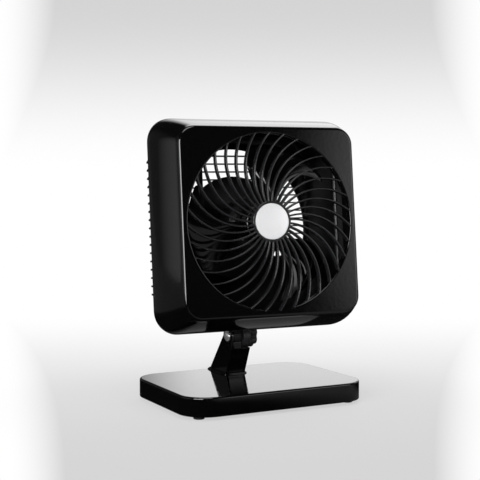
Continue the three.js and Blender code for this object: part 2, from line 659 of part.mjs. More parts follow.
function frontHousing() {
  const outer = toSolid(shellOuter());
  const opening = turned('y', [
    [0, -5], [GRILLE_RADIUS + GRILLE_CHAMFER + 5, -5], [GRILLE_RADIUS, GRILLE_CHAMFER],
    [GRILLE_RADIUS, SHELL_WALL + 5], [0, SHELL_WALL + 5],
  ], 70);
  const skirt = tube('y', GRILLE_RADIUS + SKIRT_WALL, GRILLE_RADIUS, SHELL_WALL - 1, RIB_DEPTH + 2, 70);
  const badgeSeat = -HUB_PROUD + BADGE_THICK + SEAT;
  const hub = cut(
    turned('y', [[0, -HUB_PROUD], [HUB_RADIUS - 1, -HUB_PROUD], [HUB_RADIUS, 1 - HUB_PROUD],
      [HUB_RADIUS, RIB_DEPTH], [0, RIB_DEPTH]], 35),
    rod('y', BADGE_RADIUS + SEAT, -HUB_PROUD - 1, badgeSeat, 0, 0, 35),
    rod('y', HUB_RADIUS - SHELL_WALL, badgeSeat + SHELL_WALL, RIB_DEPTH + 1, 0, 0, 35),
  );
  const rib = grilleRib();
  const ribs = Array.from({ length: RIB_COUNT }, (_, i) => rib.rotate([0, i * 360 / RIB_COUNT, 0]));
  const bossEnd = RIM_DEPTH - FLANGE - SEAT;
  const boss = ([x, z]) => toSolid(rod('y', BOSS_RADIUS, bossEnd - BOSS_LENGTH, bossEnd, x, z, 16));
  const bosses = housingScrewPlaces().map((place) => boss(place).intersect(outer));
  const bores = housingScrewPlaces()
    .map(([x, z]) => rod('y', SCREW_RADIUS + RUN, bossEnd - 15, bossEnd + 1, x, z, 8));
  const shell = cut(outer, shellInner(), opening);
  return cut(join(shell, skirt, hub, ...ribs, ...bosses), ...bores);
}

function hubBadge() {
  const back = -HUB_PROUD + BADGE_THICK;
  const profile = [[0, back], [BADGE_RADIUS, back], [BADGE_RADIUS, -HUB_PROUD + 0.4]];
  for (let i = 0; i <= 3; i++) {
    const radius = (BADGE_RADIUS - 0.8) * (1 - i / 3);
    profile.push([radius, -HUB_PROUD - BADGE_DOME * (1 - (1 - i / 3) ** 2)]);
  }
  return turned('y', profile, 36);
}

// ---- rear cover -----------------------------------------------------------------------------
const COVER_FRONT = RIM_DEPTH - FLANGE;
const slatHeights = (limit) => {
  const count = Math.floor(limit / SLAT_PITCH);
  return Array.from({ length: 2 * count + 1 }, (_, i) => (i - count) * SLAT_PITCH);
};

// Half width of the cover's tapering sides at a depth behind the panel.
function coverSide(depth) {
  const t = (depth - COVER_FRONT) / (COVER_DEPTH - COVER_EDGE - COVER_FRONT);
  return COVER_HALF - COVER_TAPER * t;
}

function coverRing(halfX, inset, y) {
  const outline = roundedOutline(halfX - inset, COVER_HALF - inset, COVER_CORNER - inset);
  return outline.map(([x, z]) => [x, y, z]);
}

function coverRings(wall, front, back) {
  const rings = [coverRing(COVER_HALF, wall, front)];
  for (let i = 0; i <= 3; i++) {
    const angle = i / 3 * Math.PI / 2;
    const inset = COVER_EDGE_INSET * (1 - Math.cos(angle));
    const y = back - COVER_EDGE * (1 - Math.sin(angle));
    rings.push(coverRing(COVER_HALF - COVER_TAPER, wall + inset, y));
  }
  return rings;
}

const SLAT_BACK = COVER_DEPTH - 0.5;
const STRUT_FRONT = SLAT_BACK - SLAT_DEPTH - 3;

function rearGrille() {
  const core = toSolid(rod('y', PLATE_RADIUS - 2, STRUT_FRONT, COVER_DEPTH, 0, 0, 36));
  const heights = slatHeights(REAR_OPENING - SLAT_THICK).filter((z) => z > REAR_SILL + SLAT_THICK);
  const slats = heights.map((z) => {
    const reach = Math.sqrt(REAR_OPENING ** 2 - z ** 2) + 2;
    const half = SLAT_THICK / 2;
    return cut(box(-reach, reach, SLAT_BACK - SLAT_DEPTH, SLAT_BACK, z - half, z + half), core);
  });
  const struts = [-STRUT_PLACE, STRUT_PLACE].map((x) => {
    const reach = Math.sqrt(REAR_OPENING ** 2 - (Math.abs(x) - STRUT_WIDTH / 2) ** 2) + 3;
    const half = STRUT_WIDTH / 2;
    return box(x - half, x + half, STRUT_FRONT, COVER_DEPTH - 1, REAR_SILL - SHELL_WALL, reach);
  });
  const plate = rod('y', PLATE_RADIUS, COVER_DEPTH - REAR_PLATE_THICK, COVER_DEPTH, 0, 0, 36);
  return [...slats, ...struts, plate];
}

const pillarPlaces = () => [45, 135, 225, 315]
  .map((a) => [PILLAR_CIRCLE * Math.sin(rad(a)), PILLAR_CIRCLE * Math.cos(rad(a))]);

const screwBores = (from, to) => pillarPlaces()
  .map(([x, z]) => rod('y', SCREW_RADIUS + RUN, from - 1, to + 1, x, z, 8));

// Upright row of fins along each side of the cover.
function sideLouvres() {
  const from = RIM_DEPTH + LOUVRE_START;
  const to = from + LOUVRE_LENGTH;
  const half = LOUVRE_THICK / 2;
  const outline = [
    [-SHELL_WALL / 2, from], [LOUVRE_PROUD, from + 4], [LOUVRE_PROUD, to - 6], [-SHELL_WALL / 2, to],
  ];
  const fins = [];
  for (const side of [-1, 1]) {
    for (let k = 0; k < LOUVRE_COUNT; k++) {
      const z = (k - (LOUVRE_COUNT - 1) / 2) * SLAT_PITCH;
      const layer = (h) => outline.map(([proud, y]) => [side * (coverSide(y) + proud), y, z + h]);
      fins.push(loft([layer(-half), layer(half)]));
    }
  }
  return fins;
}

function rearOpening() {
  const [front, back] = [COVER_DEPTH - 2 * SHELL_WALL, COVER_DEPTH + 1];
  const below = box(-REAR_OPENING, REAR_OPENING, front - 1, back + 1, -REAR_OPENING - 1, REAR_SILL);
  return cut(rod('y', REAR_OPENING, front, back, 0, 0, 60), below);
}

function rearCover() {
  const cup = cut(
    loft(coverRings(0, COVER_FRONT, COVER_DEPTH)),
    loft([coverRing(COVER_HALF, SHELL_WALL, COVER_FRONT - 5),
      ...coverRings(SHELL_WALL, COVER_FRONT, COVER_DEPTH - SHELL_WALL)]),
    rearOpening(),
  );
  const flangeHalf = RIM_HALF - SHELL_WALL - RUN - 0.6;
  const plateBetween = (half, corner, from, to) => loft(
    [headRing(half, corner, from), headRing(half, corner, to)],
  );
  const flange = cut(
    plateBetween(flangeHalf, RIM_CORNER - SHELL_WALL, COVER_FRONT, RIM_DEPTH),
    plateBetween(COVER_HALF - 2, COVER_CORNER - 2, COVER_FRONT - 1, RIM_DEPTH + 1),
  );
  const pillarFrom = MOTOR_REAR + SEAT;
  const pillars = pillarPlaces()
    .map(([x, z]) => rod('y', PILLAR_RADIUS, pillarFrom, COVER_DEPTH - 1, x, z, 10));
  const bores = screwBores(pillarFrom, COVER_DEPTH);
  const screwHoles = housingScrewPlaces()
    .map(([x, z]) => rod('y', SCREW_RADIUS + RUN, COVER_FRONT - 1, RIM_DEPTH + 1, x, z, 8));
  const bushHole = rod('y', SWITCH_BUSH_RADIUS + RUN, COVER_DEPTH - 10, COVER_DEPTH + 1);
  const glandHole = rod('y', GLAND_RADIUS + SEAT, COVER_DEPTH - 9, COVER_DEPTH + 1, GLAND_X, GLAND_Z, 14);
  const swivelHole = rod('z', SWIVEL_BOLT_RADIUS + RUN, -COVER_HALF - 1, -COVER_HALF + SHELL_WALL + 1,
    0, SWIVEL_TO_PANEL);
  const solid = join(cup, flange, ...sideLouvres(), ...rearGrille(), ...pillars);
  return cut(solid, ...bores, ...screwHoles, bushHole, glandHole, swivelHole);
}

function housingScrews() {
  const seat = RIM_DEPTH + SEAT;
  return housingScrewPlaces().map(([x, z]) => screw('y', seat, seat - 16, x, z));
}

// Long screws from the rear plate through the pillars and the whole motor.
function motorScrews() {
  const seat = COVER_DEPTH + SEAT;
  return pillarPlaces().map(([x, z]) => screw('y', seat, MOTOR_FRONT + 3, x, z));
}

// ---- motor ------------------------------------------------------------------------------------
// End bell: a cup with a bearing seat; dir is 1 for the front bell and -1 for the rear one.
function endBell(outerEnd, dir) {
  const mouth = outerEnd + dir * (BELL_DEPTH - SEAT);
  const inner = outerEnd + dir * BELL_WALL;
  const seatEnd = outerEnd + dir * (BEARING_LENGTH + BELL_WALL);
  const bore = BEARING_RADIUS + SEAT;
  const cup = turned('y', [
    [SHAFT_RADIUS + 2, outerEnd], [MOTOR_RADIUS - 8, outerEnd], [MOTOR_RADIUS, outerEnd + dir * 8],
    [MOTOR_RADIUS, mouth], [MOTOR_RADIUS - BELL_WALL, mouth],
    [MOTOR_RADIUS - BELL_WALL, outerEnd + dir * 9],
    [MOTOR_RADIUS - 9, inner], [bore + BELL_WALL, inner], [bore + BELL_WALL, seatEnd],
    [bore, seatEnd], [bore, inner], [SHAFT_RADIUS + 2, inner], [SHAFT_RADIUS + 2, outerEnd],
  ], 28);
  return cut(cup, ...screwBores(outerEnd - 2 * BELL_WALL, outerEnd + 2 * BELL_WALL));
}

function statorCore() {
  const ring = tube('y', MOTOR_RADIUS, ROTOR_RADIUS + AIR_GAP, STACK_FRONT, STACK_REAR, 28);
  return cut(ring, ...screwBores(STACK_FRONT, STACK_REAR));
}

function statorCoils() {
  const [inner, outer] = [ROTOR_RADIUS + 2, MOTOR_RADIUS - 14];
  const ring = (from, to) => turned('y', [
    [inner, from], [outer, from], [outer, (from + to) / 2],
    [(inner + outer) / 2, to], [inner, (from + to) / 2], [inner, from],
  ], 20);
  return [
    ring(STACK_FRONT - SEAT, STACK_FRONT - COIL_REACH),
    ring(STACK_REAR + SEAT, STACK_REAR + COIL_REACH),
  ];
}

function bearing(outerEnd, dir) {
  const from = outerEnd + dir * (BELL_WALL + SEAT);
  const to = from + dir * (BEARING_LENGTH - SEAT);
  const sides = 24;
  const bore = (SHAFT_RADIUS + CLOSE_FIT) / Math.cos(Math.PI / sides);
  return tube('y', BEARING_RADIUS, bore, Math.min(from, to), Math.max(from, to), sides);
}

function rotor() {
  return tube('y', ROTOR_RADIUS, SHAFT_RADIUS + CLOSE_FIT, STACK_FRONT - 1, STACK_REAR + 1, 28);
}

function motorShaft() {
  return rod('y', SHAFT_RADIUS, PROP_FRONT - 6, MOTOR_REAR - BELL_WALL - SEAT, 0, 0, 16);
}

// ---- propeller --------------------------------------------------------------------------------
// Angles of a blade's edges, degrees clockwise from the top, for t from 0 at the hub to 1 at the tip.
const leadingAngle = (t) => 125 - 46 * t + 34 * t * t;
const trailingAngle = (t) => 152 + 36 * t ** 4;

function blade() {
  const rings = [];
  for (let i = 0; i <= BLADE_STEPS; i++) {
    const t = i / BLADE_STEPS;
    const radius = PROP_HUB_RADIUS - 3 + (BLADE_TIP - PROP_HUB_RADIUS + 3) * t;
    const [lead, trail] = [leadingAngle(t), trailingAngle(t)];
    const round = Math.sqrt(Math.max(0, 1 - ((t - 0.8) / 0.2) ** 2));
    const shrink = t > 0.8 ? 0.72 + 0.28 * round : 1;
    const middle = (lead + trail) / 2;
    const thick = BLADE_THICK * (1.25 - 0.55 * t);
    const [rearY, frontY] = [PROP_REAR - 3 - 4 * t, PROP_FRONT + 5 + 3 * t];
    const side = (sign) => Array.from({ length: CHORD_STEPS + 1 }, (_, j) => {
      const s = j / CHORD_STEPS;
      const angle = rad(middle + (s - 0.5) * (trail - lead) * shrink);
      const half = thick / 2 * (j % CHORD_STEPS ? 1 : 0.35);
      const y = rearY + (frontY - rearY) * s - BLADE_CAMBER * Math.sin(Math.PI * s) + sign * half;
      return [radius * Math.sin(angle), y, radius * Math.cos(angle)];
    });
    rings.push([...side(-1), ...side(1).reverse()]);
  }
  return toSolid(loft(rings));
}

function propeller() {
  const hub = turned('y', [
    [SHAFT_RADIUS + CLOSE_FIT, PROP_FRONT], [PROP_HUB_RADIUS - 4, PROP_FRONT],
    [PROP_HUB_RADIUS, PROP_FRONT + 4],
    [PROP_HUB_RADIUS, PROP_REAR], [PROP_HUB_RADIUS - PROP_HUB_WALL, PROP_REAR],
    [PROP_HUB_RADIUS - PROP_HUB_WALL, PROP_FRONT + 4 + PROP_HUB_WALL], [10, PROP_FRONT + PROP_HUB_WALL + 1],
    [10, PROP_REAR], [SHAFT_RADIUS + CLOSE_FIT, PROP_REAR], [SHAFT_RADIUS + CLOSE_FIT, PROP_FRONT],
  ], 30);
  const inside = tube('y', PROP_HUB_RADIUS - PROP_HUB_WALL, 1, PROP_FRONT + 4, PROP_REAR + 5, 30);
  const shape = blade();
  const trimmed = cut(shape, inside);
  const pitch = 360 / BLADE_COUNT;
  const blades = Array.from({ length: BLADE_COUNT }, (_, i) => trimmed.rotate([0, i * pitch, 0]));
  return join(hub, ...blades);
}

function propellerNut() {
  const back = PROP_FRONT - SEAT;
  const front = back - SPINNER_LENGTH;
  const body = turned('y', [
    [0, back], [SPINNER_RADIUS, back], [SPINNER_RADIUS, front + 4],
    [SPINNER_RADIUS - 3, front + 1], [0, front],
  ], 16);
  return cut(body, rod('y', SHAFT_RADIUS + CLOSE_FIT, PROP_FRONT - 6 - 0.5, back + 1, 0, 0, 16));
}

// ---- electrics ----------------------------------------------------------------------------------
const PLATE_FRONT = COVER_DEPTH - REAR_PLATE_THICK;

function speedSwitch() {
  const half = SWITCH_WIDTH / 2;
  const body = box(-half, half, PLATE_FRONT - SEAT - SWITCH_LENGTH, PLATE_FRONT - SEAT, -half, half);
  const bush = rod('y', SWITCH_BUSH_RADIUS, PLATE_FRONT - 1, COVER_DEPTH, 0, 0, 20);
  const spindle = rod('y', 3, COVER_DEPTH - 1, COVER_DEPTH + 10, 0, 0, 16);
  const tags = [-8, -3, 2, 7].map((x) => {
    const front = PLATE_FRONT - SEAT - SWITCH_LENGTH;
    return box(x, x + 2.4, front - 6, front + 1, -0.5, 0.5);
  });
  return join(body, bush, spindle, ...tags);
}

function speedKnob() {
  const near = COVER_DEPTH + SEAT;
  const far = near + SPEED_KNOB_LENGTH;
  const skirt = turned('y', [
    [0, near], [SPEED_KNOB_RADIUS, near], [SPEED_KNOB_RADIUS, near + 3], [SPEED_KNOB_RADIUS - 2, far - 1],
    [SPEED_KNOB_RADIUS - 3, far], [0, far],
  ], 24);
  const scoops = [-1, 1].map((side) => box(
    side > 0 ? 4 : -SPEED_KNOB_RADIUS - 1, side > 0 ? SPEED_KNOB_RADIUS + 1 : -4, near + 5, far + 1,
    -SPEED_KNOB_RADIUS - 1, SPEED_KNOB_RADIUS + 1,
  ));
  const pointer = box(-0.8, 0.8, far - 1, far + 0.8, 5, SPEED_KNOB_RADIUS - 4);
  return cut(join(cut(skirt, ...scoops), pointer), rod('y', 3.3, near - 1, near + 10.3, 0, 0, 16));
}

function capacitor() {
  const [w, d, h] = CAPACITOR;
  const back = STRUT_FRONT - SEAT;
  return box(STRUT_PLACE - w / 2, STRUT_PLACE + w / 2, back - d, back, -h / 2, h / 2);
}

function cordGland() {
  const inside = COVER_DEPTH - SHELL_WALL - SEAT;
  const outside = COVER_DEPTH + SEAT;
  const lip = GLAND_RADIUS + GLAND_LIP;
  return turned('y', [
    [GLAND_BORE, inside - GLAND_LIP], [lip, inside - GLAND_LIP], [lip, inside], [GLAND_RADIUS, inside],
    [GLAND_RADIUS, outside], [lip, outside], [lip - 1, outside + GLAND_LIP],
    [GLAND_BORE, outside + GLAND_LIP], [GLAND_BORE, inside - GLAND_LIP],
  ], 14, GLAND_X, GLAND_Z);
}

// Lead inside the cover, from the gland to the switch.
function innerLead() {
  const switchFront = PLATE_FRONT - SEAT - SWITCH_LENGTH;
  const back = COVER_DEPTH - LEAD_DEPTH;
  const along = (u, v, y) => new THREE.Vector3(GLAND_X * u, y, GLAND_Z * v);
  const route = new THREE.CatmullRomCurve3([
    along(1, 1, COVER_DEPTH - 1),
    along(1, 1, COVER_DEPTH - 10),
    along(0.95, 0.95, back + 6),
    along(0.8, 0.78, back),
    along(0.52, 0.34, back),
    along(0.3, 0.08, switchFront - 2),
    new THREE.Vector3(-SWITCH_WIDTH / 2 - LEAD_RADIUS - 1, switchFront + 6, -6),
  ]);
  const section = new THREE.Shape(Array.from({ length: 6 }, (_, i) => new THREE.Vector2(
    LEAD_RADIUS * Math.cos(i * Math.PI / 3), LEAD_RADIUS * Math.sin(i * Math.PI / 3))));
  return new THREE.ExtrudeGeometry(section, { steps: 16, bevelEnabled: false, extrudePath: route });
}

// ---- assembly -------------------------------------------------------------------------------------
const fan = new THREE.Group();

fan.add(
  piece('base_shell', baseShell(), 'glossBlack'),
  piece('base_bottom_plate', basePlate(), 'satinBlack'),
  ...pieces('base_screw', baseScrews(), 'steel'),
  piece('support_arm', supportArm(), 'glossBlack'),
  ...pieces('arm_screw', armScrews(), 'steel'),
);
const footNames = ['foot_front_left', 'foot_front_right', 'foot_rear_left', 'foot_rear_right'];
fourCorners(FOOT_X, FOOT_Y).forEach(([x, y], i) => fan.add(piece(footNames[i], foot(x, y), 'rubber')));

const pivot = new THREE.Group();
pivot.position.set(0, PIVOT_Y, PIVOT_HEIGHT);
pivot.add(
  piece('tilt_bolt', tiltBolt(), 'chrome'),
  piece('tilt_washer', tiltWasher(), 'steel'),
  piece('tilt_knob', tiltKnob(), 'knobGrey'),
  piece('knob_insert', knobInsert(), 'bronze'),
);
fan.add(pivot);

const neck = new THREE.Group();
neck.name = 'neck_frame';
neck.rotation.x = rad(-REST_TILT);
neck.add(
  piece('neck_lug', neckLug(), 'satinBlack'),
  piece('swivel_washer', swivelWasher(), 'steel'),
);
pivot.add(neck);

const swivel = new THREE.Group();
swivel.name = 'swivel_frame';
swivel.position.set(0, -NECK_REACH, DISC_TOP + SEAT);
swivel.rotation.z = rad(REST_SWIVEL);
swivel.add(
  piece('swivel_bolt', swivelBolt(), 'steel'),
  piece('swivel_nut', swivelNut(), 'steel'),
);
neck.add(swivel);

const head = new THREE.Group();
head.name = 'head_frame';
head.position.set(0, -SWIVEL_TO_PANEL, COVER_HALF);
head.add(
  piece('front_housing', frontHousing(), 'glossBlack'),
  piece('hub_badge', hubBadge(), 'silver'),
  piece('rear_cover', rearCover(), 'satinBlack'),
  ...pieces('housing_screw', housingScrews(), 'steel'),
  piece('motor_front_bell', endBell(MOTOR_FRONT, 1), 'satinBlack'),
  piece('motor_rear_bell', endBell(MOTOR_REAR, -1), 'satinBlack'),
  piece('stator_core', statorCore(), 'satinBlack'),
  ...pieces('stator_coil', statorCoils(), 'copper'),
  ...pieces('motor_screw', motorScrews(), 'steel'),
  piece('front_bearing', bearing(MOTOR_FRONT, 1), 'bronze'),
  piece('rear_bearing', bearing(MOTOR_REAR, -1), 'bronze'),
  piece('rotor', rotor(), 'steel'),
  piece('motor_shaft', motorShaft(), 'steel'),
  piece('propeller', propeller(), 'satinBlack'),
  piece('propeller_nut', propellerNut(), 'satinBlack'),
  piece('speed_switch', speedSwitch(), 'white'),
  piece('speed_knob', speedKnob(), 'knobGrey'),
  piece('capacitor', capacitor(), 'white'),
  piece('cord_inlet_gland', cordGland(), 'rubber'),
  piece('inner_lead', innerLead(), 'rubber'),
);
swivel.add(head);

// The origin is the middle of the footprint, on the floor.
fan.updateMatrixWorld(true);
const extent = new THREE.Box3().setFromObject(fan, true);
const middle = extent.getCenter(new THREE.Vector3());
fan.position.set(-middle.x, -middle.y, -extent.min.z);

export default fan;
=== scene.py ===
"""Square air circulator fan: fine surfaces, finishes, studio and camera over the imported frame.

Each piece made here rides on a body of the frame, and all but the speed knob's mark stand for a CAD
node. Shapes are worked out in millimetres, in the frame of the head, of the tilt pivot or of the
world, and piece() turns them into metres.
"""

import json
import math

import bmesh
import bpy
from mathutils import Matrix, Vector


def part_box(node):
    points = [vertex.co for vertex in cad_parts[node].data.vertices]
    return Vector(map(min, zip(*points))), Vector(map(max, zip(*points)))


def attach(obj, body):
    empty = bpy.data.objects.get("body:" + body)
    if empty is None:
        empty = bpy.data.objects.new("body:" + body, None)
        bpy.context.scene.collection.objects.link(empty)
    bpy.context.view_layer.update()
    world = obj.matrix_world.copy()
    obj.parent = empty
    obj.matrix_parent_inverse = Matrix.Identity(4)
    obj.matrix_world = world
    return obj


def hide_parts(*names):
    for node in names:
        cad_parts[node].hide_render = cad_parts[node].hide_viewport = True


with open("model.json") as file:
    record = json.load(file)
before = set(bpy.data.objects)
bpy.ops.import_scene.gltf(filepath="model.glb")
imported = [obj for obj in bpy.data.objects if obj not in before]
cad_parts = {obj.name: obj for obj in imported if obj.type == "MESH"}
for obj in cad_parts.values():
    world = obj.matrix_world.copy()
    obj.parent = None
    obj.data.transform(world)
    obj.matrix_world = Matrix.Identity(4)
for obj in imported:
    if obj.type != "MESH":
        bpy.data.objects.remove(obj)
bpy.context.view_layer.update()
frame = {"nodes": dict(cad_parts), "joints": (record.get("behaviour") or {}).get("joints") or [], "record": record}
MM = 0.001

# ---- sizes, millimetres and degrees -----------------------------------------------------------
AXIS = 0.01  # radius of a turned outline where it meets its axis
SEAT = 0.3  # clearance between a piece and its seat
LAP = 2  # how far a part runs into what holds it
FLAT_RING = 0.6  # a ring this far inside an edge keeps the face beyond it flat

PANEL_HALF = 151
PANEL_CORNER = 28
PANEL_EDGE = 5
RIM_HALF = 175.5
RIM_CORNER = 40
RIM_DEPTH = 87
RIM_CHAMFER = 0.8
SHELL_WALL = 3
SHELL_SWELL = 1.5  # power by which the sides swell out behind the panel
OPENING = 142.3
OPENING_EDGE = 1.8
SKIRT_WALL = 2.6
SKIRT_DEPTH = 12

RIB_COUNT = 35
RIB_START = -17.2
RIB_SWEEP = 28.7
RIB_POWER = 1.42
RIB_DEPTH = 10
RIB_HUB_WIDTH = 3.4
RIB_RIM_WIDTH = 2.5
RIB_INTO_SKIRT = 0.6  # share of the skirt's wall
RIB_RISE = 0.8  # share of the hub's proud height that a rib climbs to at the hub
RIB_SIDE = [(0.25, 0.0), (0.44, 0.5), (0.47, 1.4), (0.30, RIB_DEPTH)]  # (share of the width, depth)
HUB_RADIUS = 33
HUB_PROUD = 2
HUB_EDGE = 1.2
HUB_LIP = 0.6
BADGE_RADIUS = 29
BADGE_THICK = 2.4
BADGE_DOME = 1.6
BADGE_EDGE = 1
BADGE_RIM = ((0, 0.8), (0.3, 0.2))  # (in from the radius, behind the front)

COVER_HALF = 164
COVER_CORNER = 60
COVER_FRONT = 84
COVER_DEPTH = 163
COVER_TAPER = 16
COVER_EDGE = 12
COVER_EDGE_INSET = 9
FLANGE_GAP = 1
REAR_OPENING = 135.5
REAR_SILL = -52
REAR_EDGE = ((1.2, 0), (0.3, 0.4), (0, 1.2))  # rounding of the opening: (outwards, in from the back)
SLAT_PITCH = 13.7
SLAT_THICK = 2
SLAT_DEPTH = 9
SLAT_EDGE = 0.7
SLAT_INSET = 0.5
STRUT_PLACE = 60
STRUT_WIDTH = 6
STRUT_EDGE = 1.2
STRUT_FORWARD = 3  # how far a strut stands in front of the slats
STRUT_INSET = 1
PLATE_RADIUS = 88
PLATE_THICK = 6
PLATE_BORE = 5.4
PLATE_EDGE = 1.5
PLATE_INSET = 0.1
GROOVES = (82, 70, 56)
GROOVE_DEPTH = 0.8
GROOVE_MOUTH = 1  # half width
GROOVE_FLOOR = 0.6  # half width
PILLAR_RADIUS = 5.5
PILLAR_CIRCLE = 36
PILLAR_FRONT = 120.3
LOUVRE_COUNT = 17
LOUVRE_THICK = 3
LOUVRE_PROUD = 10
LOUVRE_FRONT = 98
LOUVRE_BACK = 146
LOUVRE_OUTLINE = [  # (proud of the side, depth behind the panel)
    (-SHELL_WALL / 2, LOUVRE_FRONT),
    (LOUVRE_PROUD - 1.2, LOUVRE_FRONT + 3.2),
    (LOUVRE_PROUD, LOUVRE_FRONT + 5),
    (LOUVRE_PROUD, LOUVRE_BACK - 7),
    (LOUVRE_PROUD - 1.2, LOUVRE_BACK - 4.8),
    (-SHELL_WALL / 2, LOUVRE_BACK),
]
LOUVRE_LAYERS = ((-0.5, 0.6), (-0.3, 0.0), (0.3, 0.0), (0.5, 0.6))  # (share of thickness, inset)

BLADE_COUNT = 3
BLADE_TIP = 131
BLADE_ROOT_THICK = 3
BLADE_TIP_THICK = 1.68
BLADE_CAMBER = 5
BLADE_THIN = 0.2  # thickness at the blade's edges, as a share of the thickness at its middle
BLADE_INTO_HUB = 1.5
BLADE_REAR = (53, 49)  # depth of the rear edge, at the hub and at the tip
BLADE_FRONT = (29, 32)  # depth of the front edge, at the hub and at the tip
BLADE_LEAD = (125, -46, 34)  # degrees: at the hub, then per share of the length and per share squared
BLADE_TRAIL = (152, 36)  # degrees: at the hub, then per share of the length to the fourth power
TIP_START = 0.8  # share of the blade's length at which the tip's rounding starts
TIP_ROUND = 0.28  # share of the blade's width that the rounding takes
PROP_HUB = 34
PROP_FRONT = 24
PROP_REAR = 56
PROP_WALL = 2.5
PROP_EDGE = 4
PROP_BOSS = 10
PROP_BORE = 4.05

BASE_EDGE = 3
BASE_WALL = 2.8
BASE_CORNER = 46
BASE_LIP = 0.4
BASE_LOWER_EDGE = 1
ARM_WALL = 4
ARM_FRONT_WALL = 4.4
ARM_TUCK = 0.4  # how far the parts between the walls run into them
ARM_LEAN = 6.8
ARM_FOOT_LENGTH = 64
ARM_FLOOR_LEAN = (0.3, 4)  # how far the floor's upper front and rear edges lean forward
ARM_COLLAR = 3
ARM_COLLAR_HEIGHT = 1.2
ARM_COLLAR_CORNER = 1.5
ARM_RIBS = (0.36, 0.7)  # shares of the height
ARM_RIB_THICK = 3
ARM_RIB_INSET = 1
ARM_BEVEL = 0.9
ARM_COLLAR_BEVEL = 0.4
EAR_RADIUS = 16.5
EAR_STEP = 3
WEB_DROP = 20.4
CRADLE_RADIUS = 15.8
CRADLE_WIDTH = 15.4
CRADLE_DROP = 9  # its front lip below the pivot
CRADLE_PROUD = 1.5  # its foot in front of the arm
LEDGE_RISE = 0.4
LEDGE_FRONT = 0.5  # behind the arm's front
LEDGE_REAR = 6  # behind the pivot

BOLT_RADIUS = 4
BOLT_CHAMFER = 0.6
DOME_RADIUS = 9.5
DOME_HEIGHT = 4.5
DOME_UNDERCUT = 0.3
KNOB_RADIUS = 21.4
KNOB_EDGE = 4
KNOB_COLLAR_RADIUS = 21
KNOB_COLLAR = 13  # length
KNOB_COLLAR_EDGE = 1
KNOB_COLLAR_ROUNDING = (0.4, 0.8, 1.2, 1.57)  # radians round that edge
KNOB_BORE = 4.4
KNOB_HOLLOW = 12
KNOB_HOLLOW_DEPTH = 0.9
KNOB_SIDES = 192
KNOB_LOBES = 6
LOBE_DEPTH = 5
LOBE_POWER = 1.6
LOBE_TURN = math.radians(3)
SPEED_KNOB_RADIUS = 17
SPEED_KNOB_LENGTH = 16
SPEED_KNOB_BORE = 3.3
SPEED_SKIRT = ((0, 0), (0, 2.4), (0.6, 3), (2, 5), (2.4, 5.2))  # (in from the radius, height)
SPEED_GRIP_HALF = 4
SPEED_GRIP_CORNER = 3.2
SPEED_GRIP_INSET = 2.4  # in from the skirt's radius
SPEED_GRIP_START = 5
SPEED_GRIP_EDGE = ((0, 1.5), (0.4, 0.5), (1.4, 0))  # (inset, below the end)
SPEED_MARK_HALF = (0.7, 4)  # half width, half length
SPEED_MARK_CORNER = 0.5
SPEED_MARK_PLACE = 8  # in from the skirt's radius
SPEED_MARK_SPAN = (-0.5, 0.7)  # from below the grip's end to above it
# Underside and edge of a foot, as (in from the radius, height).
FOOT_SIDE = ((3, 0.0), (2.6, 0.5), (2.2, 0.0), (1, 0.0), (0.3, 0.35), (0, 1.1))
FOOT_TOP_EDGE = 0.3

# ---- camera and studio, metres unless said -------------------------------------------------------
YAW = math.radians(27.93)
PITCH = math.radians(2.8)
LENS = 78.14  # millimetres
SENSOR = 36  # millimetres
CAMERA_ASIDE = 0.8349  # left of the base's middle
CAMERA_BACK = 1.5431  # in front of the base's middle
CAMERA_HEIGHT = 0.3576
LAMP_TARGET = (0, 0, 0.28)
LAMPS = {  # place, size, power in watts
    "left_softbox": ((-1.75, -1.35, 0.75), (1.4, 1.1), 52),
    "top_softbox": ((-0.4, -0.9, 2.4), (1.6, 1.2), 26),
}
GLOWS = [  # heading, angles in degrees at which the glow is full and gone, strength
    ((-0.96, 0.22, -0.02), 8, 36, 0.62),
    ((0.61, -0.78, 0.14), 8, 17.5, 2.2),
    ((0.60, 0.60, 0.55), 12, 33, 2.0),
    ((0.95, 0.3, 0.1), 10, 40, 0.3),
    ((-0.6, 0.8, 0.05), 10, 34, 0.06),
]
SURROUNDINGS = 0.016  # strength everywhere else

# Smooth steps over the sweep, whose y runs away from the camera: (from, to, value at from, value at to).
FLOOR_FADE = (-0.45, 1.2, 0.67, 1.0)
FRONT_FADE = (-1.3, -0.6, 1.0, 0.0)
WALL_FADE = (0.42, 1.15, 1.0, 0.66)
SIDE_FADE = (0.09, 0.235, 0.0, 1.0)  # over the distance aside as a share of the distance ahead
MIRRORED_WALL_LEFT = (-0.6, -0.15, 0.0, 1.0)
MIRRORED_WALL_RIGHT = (0.7, 2.2, 1.0, 0.25)
MIRRORED_WALL_FOOT = (0.12, 0.36, 0.0, 1.0)
MIRRORED_WALL_TOP = (0.58, 0.8, 1.7, 1.0)
MIRRORED_FAR_LEFT = (-1.3, -0.6, 0.12, 0.01)
MIRRORED_FLOOR_RIGHT = (0.05, 0.3, 0.0, 0.3)
MIRRORED_FLOOR_FRONT = (-0.08, 0.1, 1.0, 0.0)
SHADOW_FADE = (0.12, 0.5, 0.78, 1.0)  # share of glow in what the camera sees, from the middle outwards
EYE_BACK = 1.75  # how far in front of the middle the distance ahead is counted from
EYE_LEAST = 0.6  # least distance ahead
MATT_GREY = (0.8, 0.8, 0.8, 1)
SWEEP_WIDTH = 8.0
SWEEP_FRONT = -4.0
SWEEP_BACK = 2.6
SWEEP_BEND = 1.2
SWEEP_HEIGHT = 1.35

joints = {joint["name"]: joint for joint in frame["joints"]}


